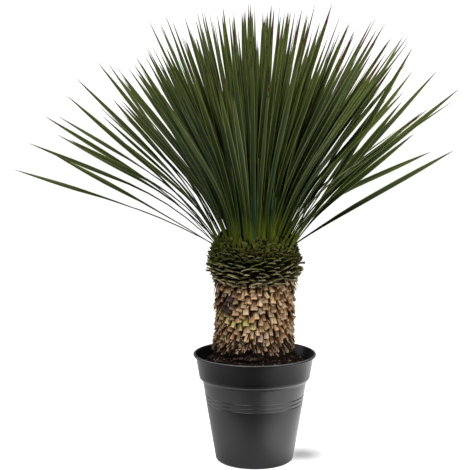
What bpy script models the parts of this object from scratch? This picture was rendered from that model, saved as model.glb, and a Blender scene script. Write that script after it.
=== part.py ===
"""A beaked yucca in a plastic grower's pot, in metres, +Z up, standing on z = 0.

The pot holds a root ball of soil. The trunk stands in a plain hole in it, clad in the dry bases
of old leaves. Above it comes a collar of green leaf bases, cut short, and then the crown of long
blades, which grow out of a domed stem tip. The front of the plant faces -Y.
"""

import math
import random
from collections import namedtuple

import bmesh
import bpy
from mathutils import Matrix, Vector

FIT_GAP = 0.0003  # between pieces that touch

# Pot
POT_SIDES = 48
WALL = 0.0024
FLOOR = 0.003
FOOT_RADIUS = 0.0945  # of the body's taper, carried down to z = 0
BODY_TAPER = 0.163  # radius gained for each metre of height
FOOT_CORNER = 0.010
GROOVE_HEIGHTS = (0.1472, 0.1566, 0.1666)
GROOVE_DEPTH = 0.0008
RIDGE_HEIGHTS = (0.1425, 0.1520, 0.1616, 0.1715)
SHOULDER_Z = 0.1985
BAND_BOTTOM = (0.1350, 0.2070)  # radius, z
BAND_TOP = (0.1424, 0.2530)
LIP_RADIUS = 0.1500
LIP_TOP_Z = 0.2670
LIP_INNER_RADIUS = 0.1438
DRAIN_HOLES = 8
DRAIN_RADIUS = 0.0050
DRAIN_CIRCLE = 0.062

# Soil
SOIL_WALL_Z = 0.2340  # where the soil meets the pot's wall
TRENCH = (0.1260, 0.2340)
ROOT_BALL_EDGE = (0.1140, 0.2540)
SOIL_TOP_Z = 0.2672
LUMP_HEIGHT = 0.0016

# Trunk
TRUNK_SIDES = 24
BURIED_RADIUS = 0.0775
BURIED_BOTTOM_Z = 0.1900
TRUNK_CORE_RADIUS = 0.0870
TRUNK_TOP_Z = 0.4400
HUSK_ROWS = 11
HUSK_FOOT_Z = 0.2710  # of the lowest row
HUSK_TOP_MARGIN = 0.0060
HUSK_STANDOFF = 0.0085  # of the free ends from the core
HUSK_SEAT_RISE = 0.0045  # of the seats over the free ends, which hang down before them
HUSK_DIP = (0.35, 0.0035)  # share of the standoff, rise over the free ends
HUSK_HALF_WIDTH = 0.42  # of the spacing in a row
HUSK_JITTER = 0.0012
FOOT_FLARE = 0.0140  # more standoff at the lowest row, which spreads over the soil
FOOT_FLARE_HEIGHT = 0.0240
FOOT_FLARE_DIP = 0.60
FOOT_FLARE_DROP = 0.75

# Collar of cut green leaf bases
COLLAR_SIDES = 28
COLLAR_TOP_Z = 0.5300
COLLAR_ROWS = 8
COLLAR_MARGIN = 0.0010  # above and below the rows
COLLAR_FOOT_RADIUS = 0.0880
COLLAR_RADIUS = 0.0985
COLLAR_FULL_SHARE = 0.40  # of the way up, where the collar has swollen to its full radius
COLLAR_RISE = (4, 20)  # degrees, of the lowest and the highest row
SEAT_INSET = 0.0040  # of a flat end's edge from the row beside it
STUB_REACH = 0.0185
LOWEST_REACH = 0.70
STUB_LIFT = 0.0015
STUB_DIP = (0.15, 0.0020)  # share of the reach, rise over the seat
STUB_HALF_WIDTH = 0.36
STUB_JITTER = 0.0014

# Crown
DOME_SIDES = 28
DOME_RADIUS = 0.0940
DOME_HEIGHT = 0.0620
DOME_SHOULDER = 75  # degrees up the dome, where its flat top begins
CUT_ROWS = 3
CUT_ROW_HEIGHT = 0.0112
CUT_RISE = (24, 10)  # degrees, of the lowest row and more for each row
CUT_REACH = (0.9, -0.1)  # of a stub's, likewise
ROOT_DEPTH = 0.0070  # of the blades' roots under the dome's skin
EDGE_LEAN = math.radians(48)  # blades that lean more are rooted at the dome's edge
ROOT_SPREAD = 0.85
BLADES = 252
BLADE_LENGTH = (0.465, 0.538)
LONGER_RIGHT = 0.035  # share of the length
BLADE_WIDTH = 0.0140
BLADE_ROOT_WIDTH = 0.0070
BLADE_KEEL = 0.0026
BLADE_STEPS = 20
STRAIGHT_STATIONS = (0, 5, 15)
BENT_STATIONS = (0, 4, 9, 15)
BENT_FROM = math.radians(17)
DENSE_SHARE = 0.84
DENSE_LEAN = math.radians(40)
WIDEST_LEAN = math.radians(70)
LEAN_JITTER = 0.05
FRONT_TRIM = 0.35  # the front's widest leaves are cut away
BACK_TRIM = 0.10
ROOT_LEAN = 0.62  # of the lean at the tip: the leaves bend outwards over their lower part
BEND_END = 0.60
TWIST = (math.radians(20), math.radians(60))
TWIST_END = 0.75

# The leaves that stand apart at each side, from the lowest up: lean from upright at the root
# and at the tip in degrees, and length. They fan out a little to the front and the back.
LEFT_LEAVES = (
    (64, 75, 0.555), (48, 70, 0.545), (58, 62, 0.475), (50, 67, 0.550), (33, 62, 0.455), (39, 58, 0.525),
    (38, 62, 0.550), (37, 50, 0.535), (34, 48, 0.555), (25, 41, 0.435), (23, 39, 0.525), (31, 39, 0.545)
)
RIGHT_LEAVES = (
    (59, 63, 0.475), (40, 63, 0.420), (45, 50, 0.415), (50, 55, 0.495), (39, 48, 0.555), (30, 49, 0.455),
    (44, 44, 0.595), (34, 40, 0.455), (34, 40, 0.530), (23, 37, 0.450), (36, 30, 0.550), (32, 34, 0.600)
)
SIDE_FAN = math.radians(26)
SIDE_FAN_START = 0.4
SIDE_ZONE = math.radians(30)  # around +X and -X, where only these lean past DENSE_LEAN
SIDE_TWIST = math.radians(88)

GOLDEN_ANGLE = math.pi * (3 - math.sqrt(5))
UP = Vector((0, 0, 1))

# A row of scales round a column: its seat ring, the dips between scales and their free ends,
# each as (radius, z), and how far each free end may vary.
ScaleRow = namedtuple("ScaleRow", "seat dip tip half_width jitter")

COLOURS = {
    "pot": ((0.050, 0.052, 0.054), 0.42),
    "soil": ((0.030, 0.018, 0.012), 0.95),
    "trunk": ((0.330, 0.205, 0.110), 0.85),
    "leaf_base_collar": ((0.075, 0.095, 0.028), 0.70),
    "leaf_crown": ((0.040, 0.075, 0.022), 0.50),
}


def clear_scene():
    for obj in list(bpy.data.objects):
        bpy.data.objects.remove(obj)


def material(name):
    colour, roughness = COLOURS[name]
    made = bpy.data.materials.new(name)
    made.use_nodes = True
    shader = made.node_tree.nodes["Principled BSDF"]
    shader.inputs["Base Color"].default_value = (*colour, 1)
    shader.inputs["Roughness"].default_value = roughness
    shader.inputs["Metallic"].default_value = 0
    return made


def object_from(bm, name):
    """The object of a closed bmesh, its faces turned outwards."""
    bmesh.ops.recalc_face_normals(bm, faces=bm.faces)
    mesh = bpy.data.meshes.new(name)
    bm.to_mesh(mesh)
    bm.free()
    obj = bpy.data.objects.new(name, mesh)
    bpy.context.scene.collection.objects.link(obj)
    return obj


def on_circle(radius, z, angle):
    return Vector((radius * math.cos(angle), radius * math.sin(angle), z))


def arc(centre, radius, start, end, steps):
    """Points on a circle in the (radius, z) plane, angles in degrees."""
    angles = [math.radians(start + (end - start) * k / steps) for k in range(steps + 1)]
    return [(centre[0] + radius * math.cos(a), centre[1] + radius * math.sin(a)) for a in angles]


def turned(name, profile, sides):
    """A solid turned about Z from (radius, z) points that start and end on the axis."""
    bm = bmesh.new()
    line = [bm.verts.new((radius, 0, z)) for radius, z in profile]
    edges = [bm.edges.new(pair) for pair in zip(line, line[1:])]
    bmesh.ops.spin(
        bm, geom=line + edges, cent=(0, 0, 0), axis=UP, angle=2 * math.pi, steps=sides, use_merge=True
    )
    bmesh.ops.remove_doubles(bm, verts=bm.verts, dist=1e-6)
    return object_from(bm, name)


def triangle(bm, *corners):
    bm.faces.new(corners)


def seat_ring(bm, sides, radius, z, phase):
    return [bm.verts.new(on_circle(radius, z, 2 * math.pi * (k + phase) / sides)) for k in range(sides)]


def scale_ring(bm, sides, row, phase, draw):
    """For each scale the dip before it and the two corners of its free end."""
    ring = []
    for k in range(sides):
        ring.append(bm.verts.new(on_circle(*row.dip, 2 * math.pi * (k + phase) / sides)))
        radius = row.tip[0] + draw.uniform(-1, 1) * row.jitter
        z = row.tip[1] + draw.uniform(-1, 1) * row.jitter
        tilt = draw.uniform(-0.4, 0.4) * row.jitter
        middle = k + phase + 0.5 + draw.uniform(-0.04, 0.04)
        for side in (-1, 1):
            angle = 2 * math.pi * (middle + side * row.half_width * draw.uniform(0.88, 1)) / sides
            ring.append(bm.verts.new(on_circle(radius, z + side * tilt, angle)))
    return ring


def skin_under_scales(bm, seat, ring):
    for k, here in enumerate(seat):
        after = seat[(k + 1) % len(seat)]
        dip, left, right = ring[3 * k : 3 * k + 3]
        next_dip = ring[(3 * k + 3) % len(ring)]
        triangle(bm, here, dip, left)
        triangle(bm, here, left, right)
        triangle(bm, here, right, after)
        triangle(bm, after, right, next_dip)


def skin_over_scales(bm, ring, seat):
    """The seat ring above has its points over the middles of the scales."""
    for k, here in enumerate(seat):
        before = seat[k - 1]
        dip, left, right = ring[3 * k : 3 * k + 3]
        triangle(bm, left, right, here)
        triangle(bm, dip, left, here)
        triangle(bm, dip, here, before)
        triangle(bm, ring[3 * k - 1], dip, before)


def scaly_column(name, sides, below, rows, above, draw):
    """A closed column of plain rings below, rows of scales, each half a scale on, and rings above."""
    bm = bmesh.new()
    plain = [seat_ring(bm, sides, radius, z, 0) for radius, z in below]
    bm.faces.new(plain[0])
    for index, row in enumerate(rows):
        seat = seat_ring(bm, sides, *row.seat, index / 2)
        if index:
            skin_over_scales(bm, ring, seat)
        else:
            plain.append(seat)
        ring = scale_ring(bm, sides, row, index / 2, draw)
        skin_under_scales(bm, seat, ring)
    tops = [seat_ring(bm, sides, radius, z, len(rows) / 2) for radius, z in above]
    skin_over_scales(bm, ring, tops[0])
    for low, high in [*zip(plain, plain[1:]), *zip(tops, tops[1:])]:
        for k in range(sides):
            after = (k + 1) % sides
            bm.faces.new((low[k], low[after], high[after], high[k]))
    bm.faces.new(tops[-1])
    bmesh.ops.triangulate(bm, faces=[face for face in bm.faces if len(face.verts) > 3])
    return object_from(bm, name)


def tapered_strip(name, rings, tip, turn):
    """A closed strip through rings of three points that ends in a sharp tip.

    Its sides are split along the diagonals that stand out where it turns, so no two walls cross.
    """
    bm = bmesh.new()
    loops = [[bm.verts.new(point) for point in ring] for ring in rings]
    end = bm.verts.new(tip)
    triangle(bm, *loops[0])
    for k in range(3):
        here, there = (k, (k + 1) % 3) if turn > 0 else ((k + 1) % 3, k)
        for low, high in zip(loops, loops[1:]):
            triangle(bm, low[here], low[there], high[there])
            triangle(bm, low[here], high[there], high[here])
        triangle(bm, loops[-1][here], loops[-1][there], end)
    return object_from(bm, name)


def keep_largest_shell(obj):
    """Drops loose scraps and fills hollows that the union has sealed."""
    bm = bmesh.new()
    bm.from_mesh(obj.data)
    shells = []
    unseen = set(bm.verts)
    while unseen:
        shell = {unseen.pop()}
        front = list(shell)
        while front:
            for edge in front.pop().link_edges:
                for vertex in edge.verts:
                    if vertex not in shell:
                        shell.add(vertex)
                        front.append(vertex)
        unseen -= shell
        shells.append(shell)
    largest = max(shells, key=len)
    bmesh.ops.delete(bm, geom=[v for v in bm.verts if v not in largest], context="VERTS")
    bm.to_mesh(obj.data)
    bm.free()


def fuse(core, pieces):
    """Joins the pieces to the core in one body."""
    bunch = bpy.data.collections.new("pieces")
    bpy.context.scene.collection.children.link(bunch)
    for piece in pieces:
        bpy.context.scene.collection.objects.unlink(piece)
        bunch.objects.link(piece)
    union = core.modifiers.new("fused", "BOOLEAN")
    union.operation = "UNION"
    union.operand_type = "COLLECTION"
    union.collection = bunch
    union.solver = "MANIFOLD"
    bpy.context.view_layer.objects.active = core
    bpy.ops.object.modifier_apply(modifier=union.name)
    for piece in pieces:
        bpy.data.objects.remove(piece)
    bpy.data.collections.remove(bunch)
    keep_largest_shell(core)
    return core


def body_radius(z):
    return FOOT_RADIUS + BODY_TAPER * z


def band_radius(z):
    share = (z - BAND_BOTTOM[1]) / (BAND_TOP[1] - BAND_BOTTOM[1])
    return BAND_BOTTOM[0] + share * (BAND_TOP[0] - BAND_BOTTOM[0])


def inside_of_pot(inset, floor_z, top_z):
    """The face that runs inset inside the pot's outer one, from the floor's edge up to top_z."""
    corner_radius = FOOT_CORNER - inset
    corner = (body_radius(FOOT_CORNER) - FOOT_CORNER, floor_z + corner_radius)
    outline = arc(corner, corner_radius, -90, 0, 2)
    outline.append((body_radius(SHOULDER_Z) - inset, SHOULDER_Z + inset / 2))
    outline.append((BAND_BOTTOM[0] - inset, BAND_BOTTOM[1] + inset / 2))
    outline.append((band_radius(top_z) - inset, top_z))
    return outline


def pot_profile():
    """The whole wall, from the foot's centre up the outside, over the lip and down the inside."""
    foot = (body_radius(FOOT_CORNER) - FOOT_CORNER, FOOT_CORNER)
    outside = [(0, 0), *arc(foot, FOOT_CORNER, -90, 0, 3)]
    grooved = [(body_radius(z), z) for z in RIDGE_HEIGHTS]
    grooved += [(body_radius(z) - GROOVE_DEPTH, z) for z in GROOVE_HEIGHTS]
    outside += sorted(grooved, key=lambda point: point[1])
    outside += [(body_radius(SHOULDER_Z), SHOULDER_Z), BAND_BOTTOM, BAND_TOP]
    lip_half = (LIP_RADIUS - LIP_INNER_RADIUS) / 2
    lip_centre = (LIP_RADIUS - lip_half, LIP_TOP_Z - lip_half)
    lip = arc(lip_centre, lip_half, -40, 180, 4)
    inside = inside_of_pot(WALL, FLOOR, BAND_TOP[1] - WALL)
    return [*outside, *lip, *reversed(inside), (0, FLOOR)]


def make_pot():
    pot = turned("pot", pot_profile(), POT_SIDES)
    bm = bmesh.new()
    for k in range(DRAIN_HOLES):
        place = Matrix.Translation(on_circle(DRAIN_CIRCLE, 0, 2 * math.pi * k / DRAIN_HOLES))
        bmesh.ops.create_cone(
            bm, cap_ends=True, segments=8, radius1=DRAIN_RADIUS, radius2=DRAIN_RADIUS,
            depth=4 * FLOOR, matrix=place
        )
    cutter = object_from(bm, "drain_cutter")
    cutter.hide_render = True
    cutter.display_type = "WIRE"
    drain = pot.modifiers.new("drain holes", "BOOLEAN")
    drain.operation = "DIFFERENCE"
    drain.object = cutter
    return pot


def make_soil():
    """The root ball, proud of the rim, in a lower fill of soil, with a plain hole for the trunk."""
    hole = BURIED_RADIUS + FIT_GAP
    hole_floor = BURIED_BOTTOM_Z - FIT_GAP
    outline = [(0, FLOOR + FIT_GAP), *inside_of_pot(WALL + FIT_GAP, FLOOR + FIT_GAP, SOIL_WALL_Z)]
    outline += [TRENCH, ROOT_BALL_EDGE, (hole, SOIL_TOP_Z), (hole, hole_floor), (0, hole_floor)]
    soil = turned("soil", outline, POT_SIDES)
    for vertex in soil.data.vertices:
        reach = vertex.co.to_2d().length
        if vertex.co.z > SOIL_WALL_Z - FIT_GAP and hole + FIT_GAP < reach < TRENCH[0] + FIT_GAP:
            angle = math.atan2(vertex.co.y, vertex.co.x)
            lump = math.sin(7 * angle + 90 * reach) + math.sin(13 * angle - 160 * reach)
            vertex.co.z += LUMP_HEIGHT / 2 * (lump - 1)
    return soil


def make_trunk():
    """Rows of dry leaf bases hang down round a core; a plain foot stands in the soil."""
    row_height = (TRUNK_TOP_Z - HUSK_TOP_MARGIN - HUSK_FOOT_Z) / HUSK_ROWS
    rows = []
    for index in range(HUSK_ROWS):
        z = HUSK_FOOT_Z + row_height * index
        flare = FOOT_FLARE * math.exp(-((z - HUSK_FOOT_Z) / FOOT_FLARE_HEIGHT) ** 2)
        seat = (TRUNK_CORE_RADIUS, z + HUSK_SEAT_RISE)
        tip = (TRUNK_CORE_RADIUS + HUSK_STANDOFF + flare, z - FOOT_FLARE_DROP * flare)
        dip_standoff = HUSK_DIP[0] * HUSK_STANDOFF + FOOT_FLARE_DIP * flare
        dip = (TRUNK_CORE_RADIUS + dip_standoff, z + HUSK_DIP[1] - FOOT_FLARE_DIP * flare / 2)
        rows.append(ScaleRow(seat, dip, tip, HUSK_HALF_WIDTH, HUSK_JITTER))
    below = [(BURIED_RADIUS, BURIED_BOTTOM_Z), (BURIED_RADIUS, SOIL_TOP_Z)]
    above = [(TRUNK_CORE_RADIUS, TRUNK_TOP_Z)]
    return scaly_column("trunk", TRUNK_SIDES, below, rows, above, random.Random(11))


def stub_row(core_radius, seat_z, reach, rise):
    """A row of leaf bases cut short, each a wedge that points outwards and up by rise."""
    tip = (core_radius + reach * math.cos(rise), seat_z + STUB_LIFT + reach * math.sin(rise))
    dip = (core_radius + STUB_DIP[0] * reach, seat_z + STUB_DIP[1])
    return ScaleRow((core_radius, seat_z), dip, tip, STUB_HALF_WIDTH, STUB_JITTER)


def make_collar():
    bottom = TRUNK_TOP_Z + FIT_GAP
    row_height = (COLLAR_TOP_Z - bottom - 2 * COLLAR_MARGIN) / COLLAR_ROWS
    rows = []
    for index in range(COLLAR_ROWS):
        share = index / (COLLAR_ROWS - 1)
        grown = min(1, share / COLLAR_FULL_SHARE)
        core_radius = COLLAR_FOOT_RADIUS + grown * (COLLAR_RADIUS - COLLAR_FOOT_RADIUS)
        reach = STUB_REACH * (LOWEST_REACH + (1 - LOWEST_REACH) * grown)
        rise = math.radians(COLLAR_RISE[0] + (COLLAR_RISE[1] - COLLAR_RISE[0]) * share)
        rows.append(stub_row(core_radius, bottom + COLLAR_MARGIN + row_height * index, reach, rise))
    below = [(COLLAR_FOOT_RADIUS - SEAT_INSET, bottom)]
    above = [(COLLAR_RADIUS - SEAT_INSET, COLLAR_TOP_Z)]
    return scaly_column("leaf_base_collar", COLLAR_SIDES, below, rows, above, random.Random(23))


def front_of(azimuth):
    """1 straight to the front, 0 at the sides and -1 straight to the back."""
    return -math.sin(azimuth)


def blade_lean(share, azimuth):
    """How far a blade's tip leans from upright: close together in the middle, sparse outside."""
    if share < DENSE_SHARE:
        lean = math.acos(1 - share / DENSE_SHARE * (1 - math.cos(DENSE_LEAN)))
    else:
        lean = DENSE_LEAN + (share - DENSE_SHARE) / (1 - DENSE_SHARE) * (WIDEST_LEAN - DENSE_LEAN)
    front = front_of(azimuth)
    trim = FRONT_TRIM if front > 0 else BACK_TRIM
    return lean * (1 - trim * front * front * lean / WIDEST_LEAN)


def dome_point(azimuth, share):
    """A point under the dome's skin, share of the way from its top to its edge."""
    height = (DOME_HEIGHT - 2 * ROOT_DEPTH) * math.sqrt(max(0, 1 - share * share))
    return on_circle((DOME_RADIUS - ROOT_DEPTH) * share, COLLAR_TOP_Z + ROOT_DEPTH + height, azimuth)


def blade_course(azimuth, root_lean, tip_lean, length, root):
    """Points and directions down the blade's middle, which bends outwards over its lower part."""
    out = on_circle(1, 0, azimuth)
    point = root.copy()
    course = []
    for step in range(BLADE_STEPS + 1):
        ease = min(1, (step + 0.5) / BLADE_STEPS / BEND_END)
        lean = root_lean + (tip_lean - root_lean) * ease * ease * (3 - 2 * ease)
        direction = out * math.sin(lean) + UP * math.cos(lean)
        course.append((point.copy(), direction))
        point += direction * (length / BLADE_STEPS)
    return course


def make_blade(azimuth, root_lean, tip_lean, length, root, turn):
    """Three-sided, narrow at the root, full along the middle, sharp at the tip."""
    course = blade_course(azimuth, root_lean, tip_lean, length, root)
    across = on_circle(1, 0, azimuth + math.pi / 2)
    bent = abs(tip_lean - root_lean) > BENT_FROM
    rings = []
    for step in BENT_STATIONS if bent else STRAIGHT_STATIONS:
        point, direction = course[step]
        twisted = min(1, step / BLADE_STEPS / TWIST_END) ** 1.5
        side = Matrix.Rotation(turn * twisted, 3, direction) @ across
        face = direction.cross(side).normalized()
        half = (BLADE_WIDTH if step else BLADE_ROOT_WIDTH) / 2
        rings.append([point - side * half, point + side * half, point - face * BLADE_KEEL])
    return tapered_strip("blade", rings, course[-1][0], turn)


def make_dome():
    """The stem tip, with rows of cut leaf bases round its foot."""
    bottom = COLLAR_TOP_Z + FIT_GAP
    rows = []
    for index in range(CUT_ROWS):
        height = COLLAR_MARGIN + CUT_ROW_HEIGHT * index
        radius = DOME_RADIUS * math.cos(math.asin(height / DOME_HEIGHT))
        rise = math.radians(CUT_RISE[0] + CUT_RISE[1] * index)
        reach = STUB_REACH * (CUT_REACH[0] + CUT_REACH[1] * index)
        rows.append(stub_row(radius, bottom + height, reach, rise))
    below = [(DOME_RADIUS - SEAT_INSET, bottom)]
    bare_from = math.degrees(math.asin(CUT_ROW_HEIGHT * CUT_ROWS / DOME_HEIGHT))
    curve = arc((0, 0), 1, bare_from, DOME_SHOULDER, 2)
    above = [(DOME_RADIUS * radius, bottom + DOME_HEIGHT * z) for radius, z in curve]
    return scaly_column("leaf_crown", DOME_SIDES, below, rows, above, random.Random(31))


def dense_blades(draw):
    """The blades placed by the golden angle, from the crown's middle outwards."""
    blades = []
    for index in range(BLADES):
        azimuth = (index * GOLDEN_ANGLE) % (2 * math.pi)
        lean = blade_lean((index + 0.5) / BLADES, azimuth) * draw.uniform(1 - LEAN_JITTER, 1 + LEAN_JITTER)
        length = draw.uniform(*BLADE_LENGTH) * (1 + LONGER_RIGHT * math.cos(azimuth))
        turn = draw.choice((-1, 1)) * draw.uniform(*TWIST)
        from_side = min(abs(azimuth - side) for side in (0, math.pi, 2 * math.pi))
        if from_side > SIDE_ZONE or lean < DENSE_LEAN:
            root = dome_point(azimuth, min(1, (lean / EDGE_LEAN) ** ROOT_SPREAD))
            blades.append(make_blade(azimuth, lean * ROOT_LEAN, lean, length, root, turn))
    return blades


def side_blades(leaves, on_left, draw):
    """The listed blades that stand apart, fanned out to the front and the back of their side."""
    blades = []
    for index, (root_lean, tip_lean, length) in enumerate(leaves):
        fan = SIDE_FAN * math.sin(index * GOLDEN_ANGLE + SIDE_FAN_START)
        azimuth = math.pi - fan if on_left else fan
        turn = draw.choice((-1, 1)) * SIDE_TWIST
        leans = math.radians(root_lean), math.radians(tip_lean)
        blades.append(make_blade(azimuth, *leans, length, dome_point(azimuth, 1), turn))
    return blades


def make_crown():
    draw = random.Random(37)
    blades = dense_blades(draw)
    blades += side_blades(LEFT_LEAVES, True, draw)
    blades += side_blades(RIGHT_LEAVES, False, draw)
    return fuse(make_dome(), blades)


def main():
    clear_scene()
    for make in (make_pot, make_soil, make_trunk, make_collar, make_crown):
        obj = make()
        obj.data.materials.clear()
        obj.data.materials.append(material(obj.name))
        obj.data.shade_smooth()
        obj.data.set_sharp_from_angle(angle=math.radians(30))


main()
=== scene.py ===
"""The looks of a beaked yucca in a plastic grower's pot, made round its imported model, in metres.

The front faces -Y. Every node is replaced by a finer piece that keeps its form: the turned pot,
the soil with its crumbs, the trunk clad in dry leaf bases, the collar of cut green leaf bases
and the crown of blades.
"""

from math import acos, asin, atan, cos, degrees, exp, hypot, pi, radians, sin, sqrt, tan
import random

import bmesh
import bpy
from mathutils import Matrix, Vector


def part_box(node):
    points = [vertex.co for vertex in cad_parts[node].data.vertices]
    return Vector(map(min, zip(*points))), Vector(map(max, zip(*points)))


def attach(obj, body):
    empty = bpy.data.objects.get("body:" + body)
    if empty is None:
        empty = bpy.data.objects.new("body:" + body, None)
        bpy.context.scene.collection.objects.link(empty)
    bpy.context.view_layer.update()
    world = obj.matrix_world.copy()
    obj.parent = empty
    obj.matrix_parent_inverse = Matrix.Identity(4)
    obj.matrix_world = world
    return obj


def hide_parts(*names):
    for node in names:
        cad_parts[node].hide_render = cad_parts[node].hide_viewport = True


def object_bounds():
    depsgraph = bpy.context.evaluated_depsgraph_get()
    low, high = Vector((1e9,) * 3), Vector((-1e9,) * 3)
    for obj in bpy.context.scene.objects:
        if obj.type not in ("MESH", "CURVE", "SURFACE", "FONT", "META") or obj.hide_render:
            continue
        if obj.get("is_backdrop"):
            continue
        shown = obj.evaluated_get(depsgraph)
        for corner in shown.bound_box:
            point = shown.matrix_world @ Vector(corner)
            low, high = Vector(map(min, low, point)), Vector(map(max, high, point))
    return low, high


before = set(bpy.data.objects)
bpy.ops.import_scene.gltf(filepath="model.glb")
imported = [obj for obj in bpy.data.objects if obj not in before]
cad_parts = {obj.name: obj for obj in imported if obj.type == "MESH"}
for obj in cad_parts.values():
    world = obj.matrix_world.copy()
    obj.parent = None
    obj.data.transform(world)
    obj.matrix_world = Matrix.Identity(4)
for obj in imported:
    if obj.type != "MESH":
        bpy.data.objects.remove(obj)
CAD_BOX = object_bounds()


def angles(*places):
    return tuple(radians(place) for place in places)


GOLDEN_ANGLE = pi * (3 - sqrt(5))
TURN = 2 * pi
UP = Vector((0, 0, 1))
MERGE = 0.00001
SOIL_SEED, TRUNK_SEED, COLLAR_SEED, TIP_SEED, CROWN_SEED, LOOKS_SEED = 3, 11, 23, 31, 37, 41
ROUGHEN = random.Random(5)

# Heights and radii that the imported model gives
POT_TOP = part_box("pot")[1].z
RIM_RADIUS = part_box("pot")[1].x
TRUNK_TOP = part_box("trunk")[1].z
TRUNK_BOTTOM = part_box("trunk")[0].z
COLLAR_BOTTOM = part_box("leaf_base_collar")[0].z
CROWN_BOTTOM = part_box("leaf_crown")[0].z
CROWN_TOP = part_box("leaf_crown")[1].z

# Pot
POT_SIDES = 160
POT_CREASE = radians(32)
WALL = 0.0024
FLOOR = 0.003
FOOT_RADIUS = 0.0945  # of the body's taper, carried down to z = 0
BODY_TAPER = 0.163  # radius gained for each metre of height
FOOT_CORNER = 0.01
GROOVE_HEIGHTS = (0.1472, 0.1566, 0.1666)
GROOVE_HALF = 0.0022
GROOVE_DEPTH = 0.0008
SHOULDER_Z = 0.199  # where the body turns out to the band
BAND_BOTTOM = (0.1353, 0.209)  # radius, z
BAND_CORNER = 0.0042
BAND_TOP = (0.1434, 0.259)
LIP_HALF = 0.0032
DRAIN_HOLES = 8
DRAIN_SIDES = 24
DRAIN_RADIUS = 0.005
DRAIN_CIRCLE = 0.062

# Soil
SOIL_SIDES = 120
SOIL_STEPS = 26
SOIL_WALL_Z = 0.234
TRENCH = (0.126, 0.234)  # radius, z
ROOT_BALL_EDGE = (0.114, 0.253)
ROOT_BALL_ROUND = 1.6
SOIL_TOP_Z = 0.27
TRUNK_HOLE = 0.0778
SOIL_GAP = 0.0003
LUMPS = ((0.012, 0.005), (0.012 / 3, 0.005 / 2.4))  # size, height
LUMP_MIDDLE = 0.62
LUMP_MARGIN = 0.001  # the soil's edges stay even
CRUMB_KINDS = ((0.0011, 900), (0.0019, 620), (0.003, 190))  # radius, how many
CRUMB_SHAPE = (1.1, 0.9, 0.75)
PERLITE_SHARE = 0.05
HEAP = 260  # crumbs heaped up in the gap of the trunk's foot
HEAP_HEIGHT = (-0.002, 0.014)
HEAP_DEPTH = 0.02
HEAP_CRUMB = (0.0014, 0.0034)
CHIPS = 110
CHIP_SIZE = (0.0075, 0.0026, 0.0012)
STREWN_SUNK = (-0.0012, 0.0006)

# Trunk. A stretch gives factors of width, thickness and length, fixed or a range to draw from.
CORE_SIDES = 72
BURIED_RADIUS = 0.0775
CORE_RADIUS = 0.0815
HUSK_RADIUS = CORE_RADIUS + 0.0121  # of the husks' free ends
HUSK_HEAD = 0.0008  # from the core to a husk's hidden end
HUSKS = 330
HUSK_TOP_Z = TRUNK_TOP + 0.004
HUSK_FOOT_Z = 0.276
HUSK_SIZE = (0.0185, 0.003, 0.029)  # width, thickness, length
HUSK_ARCH = 0.0026  # height of its middle over its sides
HUSK_RINGS = ((0.08, 1.03), (0.35, 1.03), (0.7, 0.95), (1.0, 0.8))  # share of length, of width
HUSK_KINDS = 5
HUSK_TORN = 0.0024
HUSK_JITTER = (0.04, 0.0022)  # in angle and height
HUSK_STRETCH = ((0.64, 1.08), (0.8, 1.3), (0.85, 1.1))
HUSK_OUT = (-0.0022, 0.0014)  # how unevenly the free ends stand out
HUSK_CURL = (-0.0012, 0.0042)
HUSK_ROLL = 0.15
HUSK_YAW = 0.26
FOOT_ZONE = 0.048  # height over which the husks grow longer and spread downwards
FOOT_LONGER = 0.35
FOOT_NARROWER = 0.45
FOOT_FLARE = 0.003
FOOT_FLARE_LEFT = 0.003  # more where the trunk leans, at the left
FOOT_BAY = (262, 16, 0.015)  # gap in the foot at the front: angle, half width in degrees, height
SLANT = 0.26
SLANT_FOOT = 0.16
STRAND_RINGS = ((0.2, 2.2), (0.5, 2.6), (0.75, 2.5), (1.0, 1.8))
STRAND_TIP = 0.4
TATTERS = 400  # thin torn strands that lie over the husks
TATTER_SIZE = (0.0036, 0.0012, 0.024)
TATTER_STRETCH = ((0.5, 1.4), 1, (0.5, 1.2))
TATTER_OUT = (-0.001, 0.002)
TATTER_LEAN = 0.008  # how far in its head lies
FIBRES = 640  # frayed strands round the trunk's foot
FIBRE_SIZE = (0.0033, 0.0017, 0.044)
FIBRE_ZONE = (0.273, 0.302)
FIBRE_STRETCH = ((0.5, 1.5), (0.8, 1.5), (0.6, 1.1))
FIBRE_OUT = 0.0015
FIBRE_SPLAY = 0.004
FIBRE_STEEPEST = 0.7
HANGERS = 26  # torn strips that hang from under the collar
HANGER_SIZE = (0.008, 0.002, 0.03)
HANGER_STRETCH = ((0.6, 1.2), 1, (0.6, 1.15))
HANGER_OUT = (0.0005, 0.004)
TORN_STRIPS = (
    (352, 0.464, 0.033, 0.01), (346, 0.46, 0.03, 0.007), (196, 0.408, 0.023, 0.01),
    (200, 0.396, 0.02, 0.009), (204, 0.458, 0.025, 0.005)
)  # angle round the trunk, height of the head, length and how far the end curls out

# Collar, and the cut leaves on the stem's tip over it
STUBS = 300
STUB_SIZE = (0.0285, 0.0026, 0.032)
STUB_ARCH = 0.0032
STUB_RINGS = ((0.45, 1.0), (0.8, 0.92), (0.95, 0.82), (1.0, 0.66))
STUB_POINT = 0.07  # how far the middle of the cut end stands out, as a share of the length
COLLAR_FOOT_RADIUS = 0.088
COLLAR_RADIUS = 0.0985
COLLAR_SKIN = 0.003  # from the core out to the radius above
COLLAR_SWELL_Z = 0.47  # where the collar has swollen to its full radius
STUB_MARGIN = 0.002  # from the collar's ends to the nearest stubs
STUB_REACH = (0.0105, 0.0185)
STUB_UNEVEN = (-0.0065, 0.004)
STUB_SHORTER = 0.011  # at the top of the collar
STUB_RISE = angles(-6, 26)
STUB_STRETCH = ((0.6, 1.3), (0.6, 1.1), 1)
CUT_LEAVES = 560
CUT_LEAF_SIZE = (0.0105, 0.0026, 0.026)
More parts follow.
